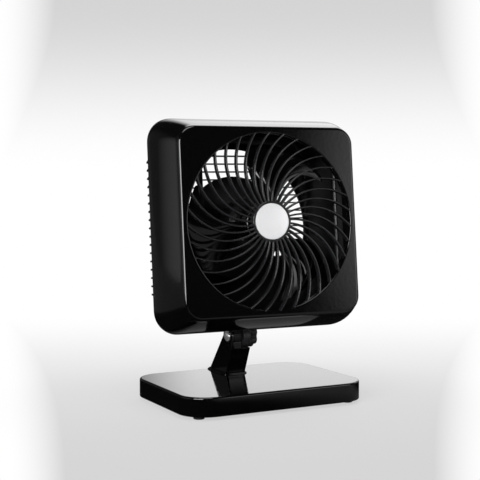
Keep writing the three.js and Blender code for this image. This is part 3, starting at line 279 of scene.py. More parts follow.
def head_place():
    """The head's own frame: x to the right, y back from the panel along the fan axis, z up."""
    back = Vector(joints["fan_spin"]["axis"]).normalized()
    up = Vector(joints["swivel"]["axis"]).normalized()
    right = back.cross(up).normalized()
    up = right.cross(back)
    place = Matrix((right, back, up)).transposed().to_4x4()
    place.translation = Vector(joints["fan_spin"]["pos_m"])
    return place


HEAD = head_place()
PIVOT = Matrix.Translation(Vector(joints["tilt"]["pos_m"]))
WORLD = Matrix.Identity(4)

# ---- materials ----------------------------------------------------------------------------------
TONE_PATCH = 40  # millimetres across a patch of lighter or darker colour
GLOSS_PATCH = 18  # millimetres across a patch of rougher or smoother surface
SMOOTHEST = 0.02
RELIEF_SHARE = 0.3  # height of the relief as a share of its grain
NOISE_RANGE = (0.3, 0.7)  # where nearly all of the noise's values lie

LOOKS = {
    "gloss_black": dict(colour=(0.0012, 0.0012, 0.0014), roughness=0.07, spread=0.02, grain=6, bump=0.015),
    # The grille is moulded in one with the panel, but its black is lighter than the panel's so the ribs read
    # brighter: a painted sheen. Its rougher finish is its own.
    "grille_black_painted_sheen": dict(colour=(0.011, 0.011, 0.012), roughness=0.15, grain=3, bump=0.03),
    "satin_black": dict(colour=(0.005, 0.005, 0.0055), roughness=0.34, grain=0.8, bump=0.1),
    "neck_black": dict(colour=(0.005, 0.005, 0.0055), roughness=0.62, grain=0.6, bump=0.15),
    "knob_grey": dict(colour=(0.022, 0.022, 0.024), roughness=0.42, grain=0.6, bump=0.25),
    "black_rubber": dict(colour=(0.012, 0.012, 0.012), roughness=0.75, grain=0.7, bump=0.3),
    "silver_badge": dict(colour=(0.82, 0.82, 0.83), roughness=0.4, metallic=0.4, spread=0.05,
                         grain=0.6, bump=0.08, mottling=0.03),
    "chrome": dict(colour=(0.75, 0.75, 0.76), roughness=0.28, metallic=0.7, bump=0.02, mottling=0.03),
    "steel": dict(colour=(0.5, 0.5, 0.52), roughness=0.34, metallic=1.0, grain=0.5, bump=0.1),
    "bronze": dict(colour=(0.42, 0.3, 0.15), roughness=0.45, metallic=1.0, grain=0.5, bump=0.15),
    "copper": dict(colour=(0.45, 0.2, 0.08), roughness=0.35, metallic=0.9, grain=0.6, bump=0.5),
    "white_plastic": dict(colour=(0.75, 0.74, 0.71), roughness=0.45, grain=0.8, bump=0.1, mottling=0.04),
}


def surface(name, colour, roughness, metallic=0.0, spread=0.04, grain=2.0, bump=0.05, mottling=0.15):
    """A plastic or metal whose colour, roughness and fine relief vary; grain is in millimetres."""
    mat = bpy.data.materials.new(name)
    mat.use_nodes = True
    nodes, links = mat.node_tree.nodes, mat.node_tree.links
    shader = nodes["Principled BSDF"]
    shader.inputs["Metallic"].default_value = metallic
    place = nodes.new("ShaderNodeTexCoord")

    def clouds(size, detail):
        texture = nodes.new("ShaderNodeTexNoise")
        texture.inputs["Scale"].default_value = 1 / (size * MM)
        texture.inputs["Detail"].default_value = detail
        links.new(place.outputs["Object"], texture.inputs["Vector"])
        return texture.outputs["Fac"]

    def spread_over(source, low, high):
        node = nodes.new("ShaderNodeMapRange")
        node.inputs["From Min"].default_value = NOISE_RANGE[0]
        node.inputs["From Max"].default_value = NOISE_RANGE[1]
        node.inputs["To Min"].default_value = low
        node.inputs["To Max"].default_value = high
        links.new(source, node.inputs["Value"])
        return node.outputs["Result"]

    tone = nodes.new("ShaderNodeMix")
    tone.data_type = "RGBA"
    dark = [c * (1 - mottling) for c in colour]
    light = [min(1, c * (1 + mottling)) for c in colour]
    tone.inputs["A"].default_value = (*dark, 1)
    tone.inputs["B"].default_value = (*light, 1)
    links.new(clouds(TONE_PATCH, 3), tone.inputs["Factor"])
    links.new(tone.outputs["Result"], shader.inputs["Base Color"])
    rough = spread_over(clouds(GLOSS_PATCH, 4), max(SMOOTHEST, roughness - spread), roughness + spread)
    links.new(rough, shader.inputs["Roughness"])
    relief = nodes.new("ShaderNodeBump")
    relief.inputs["Strength"].default_value = bump
    relief.inputs["Distance"].default_value = grain * MM * RELIEF_SHARE
    links.new(clouds(grain, 2), relief.inputs["Height"])
    links.new(relief.outputs["Normal"], shader.inputs["Normal"])
    return mat


finishes = {name: surface(name, **look) for name, look in LOOKS.items()}


# ---- outlines and surfaces ----------------------------------------------------------------------
def mix(start, end, share):
    return start + (end - start) * share


def stretch(start, end, steps):
    """Equal steps from one value to another, both ends included."""
    return [mix(start, end, i / steps) for i in range(steps + 1)]


def quarter(steps, first=0):
    """Angles from nought to a right angle in equal steps, in radians."""
    return [i / steps * math.pi / 2 for i in range(first, steps + 1)]


def arc(centre, radius, start, end, steps):
    """Points of an arc in a (p, q) plane, angles in degrees."""
    angles = [math.radians(a) for a in stretch(start, end, steps)]
    return [(centre[0] + radius * math.cos(a), centre[1] + radius * math.sin(a)) for a in angles]


def corner_arcs(half_p, half_q, radius, steps):
    """The four corner arcs of a rounded rectangle, in order round it."""
    arcs = []
    for turn, (sp, sq) in enumerate(((1, 1), (-1, 1), (-1, -1), (1, -1))):
        centre = (sp * (half_p - radius), sq * (half_q - radius))
        arcs.append(arc(centre, radius, 90 * turn, 90 * turn + 90, steps))
    return arcs


def rounded(half_p, half_q, corner, steps=12, side=14):
    """Rounded rectangle as (p, q) pairs, its straight sides cut into equal stretches."""
    arcs = corner_arcs(half_p, half_q, corner, steps)
    points = []
    for turn, here in enumerate(arcs):
        (p0, q0), (p1, q1) = here[-1], arcs[(turn + 1) % 4][0]
        points += here
        points += [(mix(p0, p1, i / side), mix(q0, q1, i / side)) for i in range(1, side)]
    return points


def soft_section(width, height, edge, steps=3):
    """Section of a bar with rounded edges, centred."""
    return [point for part in corner_arcs(width / 2, height / 2, edge, steps) for point in part]


def square_ring(half, corner, depth):
    return [(x, depth, z) for x, z in rounded(half, half, corner)]


def circle_ring(radius, depth, like):
    """A circle whose points lie at the same angles as those of another ring."""
    angles = [math.atan2(z, x) for x, _, z in like]
    return [(radius * math.cos(a), depth, radius * math.sin(a)) for a in angles]


def skin(rings, closed=False, caps=False):
    """Points and faces of a surface through rings of equal length."""
    n = len(rings[0])
    points = [p for ring in rings for p in ring]
    count = len(rings)
    faces = []
    for r in range(count if closed else count - 1):
        s = (r + 1) % count
        faces += [(r * n + i, r * n + (i + 1) % n, s * n + (i + 1) % n, s * n + i) for i in range(n)]
    if caps:
        faces.append(tuple(range(n - 1, -1, -1)))
        faces.append(tuple((count - 1) * n + i for i in range(n)))
    return points, faces


def together(*parts):
    """Several surfaces as one."""
    points, faces = [], []
    for part_points, part_faces in parts:
        start = len(points)
        points += part_points
        faces += [tuple(i + start for i in face) for face in part_faces]
    return points, faces


def lathe(profile, sides=64, axis="y", u=0.0, v=0.0):
    """Turned surface from (radius, height) pairs: a closed profile makes a ring, an open one is capped."""
    closed = profile[0] == profile[-1]
    rings = []
    for radius, height in profile[:-1] if closed else profile:
        ring = []
        for i in range(sides):
            a = i / sides * 2 * math.pi
            p, q = radius * math.cos(a), radius * math.sin(a)
            place = {"x": (height, p + u, q + v), "y": (p + u, height, q + v), "z": (p + u, q + v, height)}
            ring.append(place[axis])
        rings.append(ring)
    return skin(rings, closed=closed, caps=not closed)


def prism(outline, x0, x1):
    """A (y, z) outline carried along x."""
    return skin([[(x, y, z) for y, z in outline] for x in (x0, x1)], caps=True)


# ---- pieces -------------------------------------------------------------------------------------
SAME_POINT = 1e-6  # metres
NO_LENGTH = 1e-7  # metres
SHARP = 32  # degrees from which an edge is kept sharp
SHARP_KNOB = 40
SHARP_BLADE = 40
SHARP_RIB = 50
BEVEL_ANGLE = 40
BEVEL_SEGMENTS = 3
SPLIT_ANGLE = 34


def piece(name, shape, body, slot, place=WORLD, stands_for=(), finish=None, angle=SHARP, bevel=0.0):
    """Makes a piece from points in millimetres, with faces turned outwards and sharp edges kept."""
    points, faces = shape
    mesh = bpy.data.meshes.new(name)
    mesh.from_pydata([place @ (Vector(p) * MM) for p in points], [], faces)
    bm = bmesh.new()
    bm.from_mesh(mesh)
    bmesh.ops.remove_doubles(bm, verts=bm.verts, dist=SAME_POINT)
    bmesh.ops.dissolve_degenerate(bm, edges=bm.edges, dist=NO_LENGTH)
    bmesh.ops.recalc_face_normals(bm, faces=bm.faces)
    for face in bm.faces:
        face.smooth = True
    for edge in bm.edges:
        if len(edge.link_faces) == 2 and edge.calc_face_angle(0) > math.radians(angle):
            edge.smooth = False
    bm.to_mesh(mesh)
    bm.free()
    mesh.validate()
    obj = bpy.data.objects.new(name, mesh)
    bpy.context.scene.collection.objects.link(obj)
    mesh.materials.append(finishes[finish or slot])
    if bevel:
        mod = obj.modifiers.new("edges", "BEVEL")
        mod.width = bevel * MM
        mod.segments = BEVEL_SEGMENTS
        mod.limit_method = "ANGLE"
        mod.angle_limit = math.radians(BEVEL_ANGLE)
        mod.harden_normals = True
    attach(obj, body)
    if stands_for:
        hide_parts(*stands_for)
    return obj


def dress_frame():
    """Gives each CAD piece that still shows its finish, and smooth shading up to a sharp angle."""
    slots = {entry["node"]: entry["material_slot"] for entry in frame["record"]["subparts"]}
    for name, obj in frame["nodes"].items():
        mesh = obj.data
        mesh.materials.clear()
        mesh.materials.append(finishes["neck_black" if name == "neck_lug" else slots[name]])
        for polygon in mesh.polygons:
            polygon.use_smooth = True
        if "custom_normal" in mesh.attributes:
            mesh.attributes.remove(mesh.attributes["custom_normal"])
        weld = obj.modifiers.new("weld", "WELD")
        weld.merge_threshold = SAME_POINT
        split = obj.modifiers.new("split", "EDGE_SPLIT")
        split.split_angle = math.radians(SPLIT_ANGLE)


# ---- front housing ------------------------------------------------------------------------------
def shell_section(depth, wall=0.0):
    """Half size and corner radius of the shell at a depth behind the panel, less a wall."""
    t = min(depth / RIM_DEPTH, 1)
    swell = 1 - (1 - t) ** SHELL_SWELL
    return mix(PANEL_HALF, RIM_HALF, swell) - wall, mix(PANEL_CORNER, RIM_CORNER, t) - wall


def front_shell():
    """One closed skin: swelling sides, rounded edge, flat panel, opening, skirt, the inside and the rim."""
    rings = [square_ring(*shell_section(depth), depth)
             for depth in stretch(RIM_DEPTH - RIM_CHAMFER, PANEL_EDGE, 14)]
    half, corner = shell_section(PANEL_EDGE)
    for angle in quarter(6, 1):
        inset = PANEL_EDGE * (1 - math.cos(angle))
        rings.append(square_ring(half - inset, corner - inset, PANEL_EDGE * (1 - math.sin(angle))))
    inset = PANEL_EDGE + FLAT_RING
    face = square_ring(half - inset, corner - inset, 0)
    rings += [face, circle_ring(OPENING + OPENING_EDGE + FLAT_RING, 0, face)]
    for angle in quarter(4):
        radius = OPENING + OPENING_EDGE * (1 - math.sin(angle))
        rings.append(circle_ring(radius, OPENING_EDGE * (1 - math.cos(angle)), face))
    rings.append(circle_ring(OPENING, SKIRT_DEPTH, face))
    rings += [circle_ring(OPENING + SKIRT_WALL, depth, face) for depth in (SKIRT_DEPTH, SHELL_WALL)]
    rings += [square_ring(*shell_section(depth, SHELL_WALL), depth)
              for depth in stretch(SHELL_WALL, RIM_DEPTH, 8)]
    rings.append(square_ring(*shell_section(RIM_DEPTH, RIM_CHAMFER), RIM_DEPTH))
    piece("front_panel_shell", skin(rings, closed=True), "head", "gloss_black", HEAD, ["front_housing"])


def rib_centre(radius, turn):
    """Point of a rib's centre line, as (x, z); the rib sweeps round faster the further out it is."""
    t = max(0.0, (radius - HUB_RADIUS) / (OPENING - HUB_RADIUS))
    angle = math.radians(RIB_START + RIB_SWEEP * t ** RIB_POWER) + turn
    return Vector((radius * math.sin(angle), radius * math.cos(angle)))


def rib(turn, steps=26):
    """One curved rib, from inside the hub to inside the skirt."""
    section = [(-a, b) for a, b in RIB_SIDE[::-1]] + RIB_SIDE
    inner, outer = HUB_RADIUS - LAP, OPENING + SKIRT_WALL * RIB_INTO_SKIRT
    rings = []
    for t in stretch(0, 1, steps):
        radius = mix(inner, outer, t)
        here = rib_centre(radius, turn)
        along = (rib_centre(radius + 0.5, turn) - rib_centre(radius - 0.5, turn)).normalized()
        side = Vector((-along.y, along.x))
        width = mix(RIB_HUB_WIDTH, RIB_RIM_WIDTH, t)
        front = -HUB_PROUD * RIB_RISE * (1 - t) ** 2
        rings.append([(here.x + side.x * a * width, front + b, here.y + side.y * a * width)
                      for a, b in section])
    return skin(rings, caps=True)


def spiral_grille():
    """The ribs and the hub ring with its seat for the badge, open at the back."""
    ribs = [rib(2 * math.pi * i / RIB_COUNT) for i in range(RIB_COUNT)]
    seat = -HUB_PROUD + BADGE_THICK + SEAT
    rim = arc((HUB_RADIUS - HUB_EDGE, -HUB_PROUD + HUB_EDGE), HUB_EDGE, -90, 0, 4)
    lip = arc((BADGE_RADIUS + SEAT + HUB_LIP, -HUB_PROUD + HUB_LIP), HUB_LIP, 180, 270, 3)
    inside = HUB_RADIUS - SHELL_WALL
    profile = [(AXIS, seat), (BADGE_RADIUS + SEAT, seat), *lip, *rim, (HUB_RADIUS, RIB_DEPTH),
               (inside, RIB_DEPTH), (inside, seat + SHELL_WALL), (AXIS, seat + SHELL_WALL)]
    # The ribs take a lighter copy of the panel's gloss black: a painted sheen.
    piece("spiral_grille", together(lathe(profile, 96), *ribs), "head", "gloss_black", HEAD,
          ["front_housing"], finish="grille_black_painted_sheen", angle=SHARP_RIB)


def badge():
    """The domed silver disc in the hub, left bare."""
    back = -HUB_PROUD + BADGE_THICK
    front = -HUB_PROUD
    dome = [((BADGE_RADIUS - BADGE_EDGE) * share, front - BADGE_DOME * (1 - share ** 2))
            for share in [1 - i / 10 for i in range(10)]]
    rim = [(BADGE_RADIUS - inwards, front + behind) for inwards, behind in BADGE_RIM]
    profile = [(AXIS, back), (BADGE_RADIUS, back), *rim, *dome, (AXIS, front - BADGE_DOME)]
    piece("silver_hub_disc", lathe(profile, 96), "head", "silver_badge", HEAD, ["hub_badge"])


# ---- rear cover ---------------------------------------------------------------------------------
def cover_ring(depth, half, inset=0.0):
    return [(x, depth, z) for x, z in rounded(half - inset, COVER_HALF - inset, COVER_CORNER - inset)]


def cover_side(depth):
    """Half width of the tapering sides at a depth behind the panel."""
    t = (depth - COVER_FRONT) / (COVER_DEPTH - COVER_EDGE - COVER_FRONT)
    return COVER_HALF - COVER_TAPER * min(t, 1)


def rear_opening_ring(grow, depth, like):
    """The round opening with its straight sill, point for point with another ring."""
    sill, radius = REAR_SILL - grow, REAR_OPENING + grow
    corner = math.sqrt(radius ** 2 - sill ** 2)
    ring = []
    for x, y, z in circle_ring(radius, depth, like):
        if z < sill:
            x, z = max(-corner, min(corner, x)), sill
        ring.append((x, y, z))
    return ring


def cover_shell():
    """Tapering sides, a broad rounded edge and the flat back round its opening, given a wall."""
    depths = stretch(COVER_FRONT, COVER_DEPTH - COVER_EDGE, 5)
    rings = [cover_ring(depth, cover_side(depth)) for depth in depths]
    for angle in quarter(8, 1):
        depth = COVER_DEPTH - COVER_EDGE * (1 - math.sin(angle))
        rings.append(cover_ring(depth, cover_side(depth), COVER_EDGE_INSET * (1 - math.cos(angle))))
    last = rings[-1]
    rings += [rear_opening_ring(grow, COVER_DEPTH - inwards, last) for grow, inwards in REAR_EDGE]
    shell = piece("rear_cover_shell", skin(rings), "head", "satin_black", HEAD, ["rear_cover"])
    wall = shell.modifiers.new("wall", "SOLIDIFY")
    wall.thickness = SHELL_WALL * MM
    wall.offset = -1


def flange():
    """The flat frame that closes the gap between the housing's rim and the cover."""
    half = RIM_HALF - SHELL_WALL - FLANGE_GAP
    outer = (half, RIM_CORNER - SHELL_WALL)
    inner = (COVER_HALF - LAP, COVER_CORNER - LAP)
    loop = [square_ring(*outer, RIM_DEPTH), square_ring(*outer, COVER_FRONT),
            square_ring(*inner, COVER_FRONT), square_ring(*inner, RIM_DEPTH)]
    return skin(loop, closed=True)


def rear_slats():
    """Level slats across the opening, on both sides of the motor's plate where they meet it."""
    back = COVER_DEPTH - SLAT_INSET
    middle = back - SLAT_DEPTH / 2
    section = soft_section(SLAT_THICK, SLAT_DEPTH, SLAT_EDGE)
    count = int((REAR_OPENING - SLAT_THICK) // SLAT_PITCH)
    parts = []
    for k in range(-count, count + 1):
        z = k * SLAT_PITCH
        if z < REAR_SILL + SLAT_THICK:
            continue
        reach = math.sqrt(REAR_OPENING ** 2 - z ** 2) + LAP
        gap = math.sqrt(max(0, (PLATE_RADIUS - LAP) ** 2 - z ** 2))
        for ends in [(-reach, -gap), (gap, reach)] if gap else [(-reach, reach)]:
            parts.append(skin([[(x, middle + b, z + a) for a, b in section] for x in ends], caps=True))
    return parts


def rear_struts():
    """Two upright bars that carry the slats from in front."""
    near, far = COVER_DEPTH - SLAT_INSET - SLAT_DEPTH - STRUT_FORWARD, COVER_DEPTH - STRUT_INSET
    middle = (near + far) / 2
    section = soft_section(STRUT_WIDTH, far - near, STRUT_EDGE)
    parts = []
    for x in (-STRUT_PLACE, STRUT_PLACE):
        ends = (REAR_SILL - LAP, math.sqrt(REAR_OPENING ** 2 - x ** 2) + SHELL_WALL)
        parts.append(skin([[(x + a, middle + b, z) for a, b in section] for z in ends], caps=True))
    return parts


def rear_plate():
    """The round plate that carries the motor, with turned grooves, and its four pillars."""
    front, back = COVER_DEPTH - PLATE_THICK, COVER_DEPTH - PLATE_INSET
    edge = arc((PLATE_RADIUS - PLATE_EDGE, back - PLATE_EDGE), PLATE_EDGE, 0, 90, 4)
    profile = [(PLATE_BORE, back), (PLATE_BORE, front), (PLATE_RADIUS, front), *edge]
    for radius in GROOVES:
        profile += [(radius + GROOVE_MOUTH, back), (radius + GROOVE_FLOOR, back - GROOVE_DEPTH),
                    (radius - GROOVE_FLOOR, back - GROOVE_DEPTH), (radius - GROOVE_MOUTH, back)]
    profile.append((PLATE_BORE, back))
    parts = [lathe(profile, 96)]
    for angle in (45, 135, 225, 315):
        x = PILLAR_CIRCLE * math.sin(math.radians(angle))
        z = PILLAR_CIRCLE * math.cos(math.radians(angle))
        parts.append(lathe([(PILLAR_RADIUS, PILLAR_FRONT), (PILLAR_RADIUS, front + 1)], 24, "y", x, z))
    return parts


def louvres():
    """Fins that stand out from both sides of the cover, each with thinner edges."""
    parts = []
    for side in (-1, 1):
        for k in range(LOUVRE_COUNT):
            z = (k - (LOUVRE_COUNT - 1) / 2) * SLAT_PITCH
            layers = []
            for height, inset in LOUVRE_LAYERS:
                layers.append([(side * (cover_side(y) + min(proud, LOUVRE_PROUD - inset)), y,
                                z + height * LOUVRE_THICK) for proud, y in LOUVRE_OUTLINE])
            parts.append(skin(layers, caps=True))
    return parts


def rear_cover():
    cover_shell()
    parts = [flange(), *rear_slats(), *rear_struts(), *rear_plate(), *louvres()]
    piece("rear_grille_and_louvres", together(*parts), "head", "satin_black", HEAD, ["rear_cover"])


# ---- propeller ----------------------------------------------------------------------------------
def blade_ring(t, turn, chord=14):
    """Closed section of a blade at a share of its length: rear edge to front edge and back."""
    radius = mix(PROP_HUB - BLADE_INTO_HUB, BLADE_TIP, t)
    lead = BLADE_LEAD[0] + BLADE_LEAD[1] * t + BLADE_LEAD[2] * t * t
    trail = BLADE_TRAIL[0] + BLADE_TRAIL[1] * t ** 4
    spread = 1.0
    if t > TIP_START:
        past = (t - TIP_START) / (1 - TIP_START)
        spread = 1 - TIP_ROUND + TIP_ROUND * math.sqrt(max(0, 1 - past ** 2))
    thick = mix(BLADE_ROOT_THICK, BLADE_TIP_THICK, t)
    rear, front = mix(*BLADE_REAR, t), mix(*BLADE_FRONT, t)
    sides = []
    for sign in (-1, 1):
        row = []
        for s in stretch(0, 1, chord):
            angle = math.radians((lead + trail) / 2 + (s - 0.5) * (trail - lead) * spread) + turn
            swell = mix(BLADE_THIN, 1, math.sqrt(max(0, 1 - (2 * s - 1) ** 4)))
            y = mix(rear, front, s) - BLADE_CAMBER * math.sin(math.pi * s) + sign * thick / 2 * swell
            row.append((radius * math.sin(angle), y, radius * math.cos(angle)))
        sides.append(row)
    return sides[0] + sides[1][::-1]


def propeller():
    """The cup-shaped hub, open at the back round its boss, and the blades."""
    nose = arc((PROP_HUB - PROP_EDGE, PROP_FRONT + PROP_EDGE), PROP_EDGE, -90, 0, 6)[1:]
    inside = PROP_HUB - PROP_WALL
    profile = [(PROP_BORE, PROP_FRONT), (PROP_HUB - PROP_EDGE, PROP_FRONT), *nose,
               (PROP_HUB, PROP_REAR), (inside, PROP_REAR), (inside, PROP_FRONT + PROP_EDGE + PROP_WALL),
               (PROP_BOSS, PROP_FRONT + PROP_WALL + 1), (PROP_BOSS, PROP_REAR), (PROP_BORE, PROP_REAR),
               (PROP_BORE, PROP_FRONT)]
    blades = []
    for i in range(BLADE_COUNT):
        turn = 2 * math.pi * i / BLADE_COUNT
        blades.append(skin([blade_ring(t, turn) for t in stretch(0, 1, 30)], caps=True))
    piece("fan_blades", together(lathe(profile, 72), *blades), "fan", "satin_black", HEAD, ["propeller"],
          finish="gloss_black", angle=SHARP_BLADE)


# ---- base and arm -------------------------------------------------------------------------------
def base():
    """The cover of the base: a turned-in lower edge, upright sides, a rounded edge and a flat top."""
    low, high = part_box("base_shell")
    cx, cy = (low.x + high.x) / 2 / MM, (low.y + high.y) / 2 / MM
    hx, hy = (high.x - low.x) / 2 / MM, (high.y - low.y) / 2 / MM
    bottom, top = low.z / MM, high.z / MM

    def ring(inset, z):
        return [(cx + x, cy + y, z) for x, y in rounded(hx - inset, hy - inset, BASE_CORNER - inset)]

    rings = [ring(BASE_WALL, top - BASE_WALL), ring(BASE_WALL, bottom + BASE_LIP),
             ring(BASE_WALL - BASE_LIP, bottom)]
    rings += [ring(BASE_LOWER_EDGE * (1 - math.sin(a)), bottom + BASE_LOWER_EDGE * (1 - math.cos(a)))
              for a in quarter(3)]
    rings += [ring(BASE_EDGE * (1 - math.cos(a)), top - BASE_EDGE * (1 - math.sin(a))) for a in quarter(6)]
    rings.append(ring(BASE_EDGE + FLAT_RING, top))
    piece("base_cover", skin(rings, caps=True), "base", "gloss_black", WORLD, ["base_shell"])


def arm():
    """The leaning channel: walls, ear, front wall, floor, cross ribs and the cradle under the lug."""
    low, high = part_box("support_arm")
    pivot = Vector(joints["tilt"]["pos_m"]) / MM
    centre = pivot.x
    half = (high.x - low.x) / 2 / MM - ARM_COLLAR
    bottom = low.z / MM
    web = pivot.z - WEB_DROP
    front = pivot.y + ARM_LEAN
    rear = front + ARM_FOOT_LENGTH
    top_front = pivot.y - EAR_RADIUS + EAR_STEP
    slope = (pivot.y + EAR_RADIUS - rear) / (pivot.z - bottom)
    top_rear = rear + slope * (web - bottom)
    left = centre - half
    inner = half - ARM_WALL + ARM_TUCK

    def across(outline):
        return prism(outline, centre - inner, centre + inner)

    ear = arc((pivot.y, pivot.z), EAR_RADIUS, 180, 0, 24)
    left_wall = prism([(front, bottom), (top_front, web), *ear, (rear, bottom)], left, left + ARM_WALL)
    right_wall = prism([(front, bottom), (top_front, web), (top_rear, web), (rear, bottom)],
                       centre + half - ARM_WALL, centre + half)
    front_wall = across([(front, bottom), (top_front, web), (top_front + ARM_FRONT_WALL, web),
                         (front + ARM_FRONT_WALL, bottom)])
    floor = across([(front, bottom), (front - ARM_FLOOR_LEAN[0], bottom + ARM_WALL),
                    (rear - ARM_FLOOR_LEAN[1], bottom + ARM_WALL), (rear, bottom)])
    hollow = arc((pivot.y, pivot.z), CRADLE_RADIUS, 210, 330, 16)
    cradle = prism([(top_front, web - LAP), (top_front - CRADLE_PROUD, web),
                    (pivot.y - CRADLE_RADIUS, pivot.z - CRADLE_DROP), *hollow,
                    (top_rear - LAP, web), (top_rear - LAP, web - LAP)],
                   centre - inner, left + ARM_WALL + CRADLE_WIDTH)
    ledge_front, ledge_rear = top_front + LEDGE_FRONT, pivot.y + LEDGE_REAR
    ledge = prism([(ledge_front, web - LAP), (ledge_front, web + LEDGE_RISE),
                   (ledge_rear, web + LEDGE_RISE), (ledge_rear, web - LAP)], centre, centre + inner)
    parts = [left_wall, right_wall, front_wall, floor, cradle, ledge]
    for share in ARM_RIBS:
        z = mix(bottom, web, share)
        top = z + ARM_RIB_THICK
        near = mix(front, top_front, share) + ARM_RIB_INSET
        far = rear + slope * (top - bottom) - ARM_RIB_INSET
        parts.append(prism([(near, z), (near, top), (far, top), (far, z)],
                           left + ARM_RIB_INSET, centre + half - ARM_RIB_INSET))
    piece("leaning_arm", together(*parts), "base", "gloss_black", WORLD, ["support_arm"], bevel=ARM_BEVEL)
    arm_collar(centre, (front + rear) / 2, bottom, half, (rear - front) / 2)


def arm_collar(cx, cy, bottom, half_width, half_length):
    """The flared foot of the arm: two full rings, then one drawn in at the top."""
    rings = []
    for grow, side, rise in ((ARM_COLLAR, ARM_COLLAR, 0), (ARM_COLLAR, ARM_COLLAR, ARM_COLLAR_HEIGHT),
                             (0, -0.5, ARM_COLLAR_HEIGHT + ARM_COLLAR)):
        corner = ARM_COLLAR_CORNER + grow * 0.3
        outline = rounded(half_width + side, half_length + grow, corner, 5, 3)
        rings.append([(cx + x, cy + y, bottom + rise) for x, y in outline])
    piece("arm_collar", skin(rings, caps=True), "base", "gloss_black", WORLD, ["support_arm"],
          bevel=ARM_COLLAR_BEVEL)


# ---- knobs, bolt and feet -----------------------------------------------------------------------
def lobed(radius, depth, x):
    """A ring about the pivot's axis whose edge is scooped between its lobes to a depth."""
    ring = []
    for i in range(KNOB_SIDES):
        angle = 2 * math.pi * i / KNOB_SIDES
        scoop = 0.5 - 0.5 * math.cos(KNOB_LOBES * (angle + LOBE_TURN))
        r = radius - depth * scoop ** LOBE_POWER
        ring.append((x, r * math.sin(angle), r * math.cos(angle)))
    return ring


def tilt_knob():
    """A round collar, then a lobed grip with rounded edges and a shallow hollow in its end."""
    low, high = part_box("tilt_knob")
    start = (low.x - PIVOT.translation.x) / MM
    end = (high.x - PIVOT.translation.x) / MM
    grip = start + KNOB_COLLAR
    collar, edge = KNOB_COLLAR_RADIUS, KNOB_COLLAR_EDGE
    rings = [lobed(KNOB_BORE, 0, start), lobed(collar - edge, 0, start)]
    rings += [lobed(collar - edge * (1 - math.sin(a)), 0, start + edge * (1 - math.cos(a)))
              for a in KNOB_COLLAR_ROUNDING]
    rings += [lobed(collar, 0, grip - 1), lobed(collar - 0.8, 0.3, grip - 0.2)]
    rings += [lobed(KNOB_RADIUS - 0.6, LOBE_DEPTH, grip + 0.5), lobed(KNOB_RADIUS, LOBE_DEPTH, grip + 1.5)]
    for i, angle in enumerate(quarter(7)):
        rings.append(lobed(KNOB_RADIUS - KNOB_EDGE * (1 - math.cos(angle)), LOBE_DEPTH * (1 - i / 14),
                           end - KNOB_EDGE * (1 - math.sin(angle))))
    rings += [lobed(KNOB_HOLLOW + 0.5, 0, end), lobed(KNOB_HOLLOW, 0, end - 0.6),
              lobed(AXIS, 0, end - KNOB_HOLLOW_DEPTH)]
    piece("tilt_knob_grip", skin(rings, caps=True), "tilt_knob", "knob_grey", PIVOT, ["tilt_knob"],
          angle=SHARP_KNOB)


def tilt_bolt():
    """The bright bolt with its domed head on the left."""
    low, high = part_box("tilt_bolt")
    tip = (high.x - PIVOT.translation.x) / MM
    seat = (low.x - PIVOT.translation.x) / MM + DOME_HEIGHT
    dome = [(DOME_RADIUS * math.cos(a), seat - DOME_HEIGHT * math.sin(a)) for a in quarter(12)[:-1]]
    profile = [(AXIS, tip), (BOLT_RADIUS - BOLT_CHAMFER, tip), (BOLT_RADIUS, tip - BOLT_CHAMFER),
               (BOLT_RADIUS, seat), (DOME_RADIUS - DOME_UNDERCUT, seat), *dome, (AXIS, seat - DOME_HEIGHT)]
    piece("dome_bolt", lathe(profile, 64, "x"), "base", "chrome", PIVOT, ["tilt_bolt"])


def speed_knob():
    """A round skirt with a bar to turn it by, and a white mark on the bar's end."""
    near = COVER_DEPTH + SEAT
    far = near + SPEED_KNOB_LENGTH
    r, bore = SPEED_KNOB_RADIUS, SPEED_KNOB_BORE
    side = [(r - inwards, near + height) for inwards, height in SPEED_SKIRT]
    skirt = lathe([(bore, near), *side, (bore, side[-1][1]), (bore, near)], 72)
    layers = []
    for inset, y in [(0, near + SPEED_GRIP_START), *[(a, far - below) for a, below in SPEED_GRIP_EDGE]]:
        half_length = r - SPEED_GRIP_INSET - inset
        outline = rounded(SPEED_GRIP_HALF - inset, half_length, SPEED_GRIP_CORNER - inset, 6, 3)
        layers.append([(x, y, z) for x, z in outline])
    outline = rounded(*SPEED_MARK_HALF, SPEED_MARK_CORNER, 4, 2)
    mark = [[(x, far + above, z + r - SPEED_MARK_PLACE) for x, z in outline] for above in SPEED_MARK_SPAN]
    piece("speed_knob_body", together(skirt, skin(layers, caps=True)), "speed_knob", "knob_grey", HEAD,
          ["speed_knob"])
    piece("speed_knob_mark", skin(mark, caps=True), "speed_knob", "white_plastic", HEAD)


def feet():
    """Rubber pads with a rounded edge and a ring pressed into the underside."""
    for name in ("foot_front_left", "foot_front_right", "foot_rear_left", "foot_rear_right"):
        low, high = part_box(name)
        centre = (low + high) / 2 / MM
        r, top = (high.x - low.x) / 2 / MM, high.z / MM
        side = [(r - inwards, height) for inwards, height in FOOT_SIDE]
        profile = [(AXIS, 0.0), *side, (r, top - FOOT_TOP_EDGE), (r - FOOT_TOP_EDGE, top), (AXIS, top)]
        piece(name + "_pad", lathe(profile, 40, "z", centre.x, centre.y), "base", "black_rubber", WORLD,
              [name])


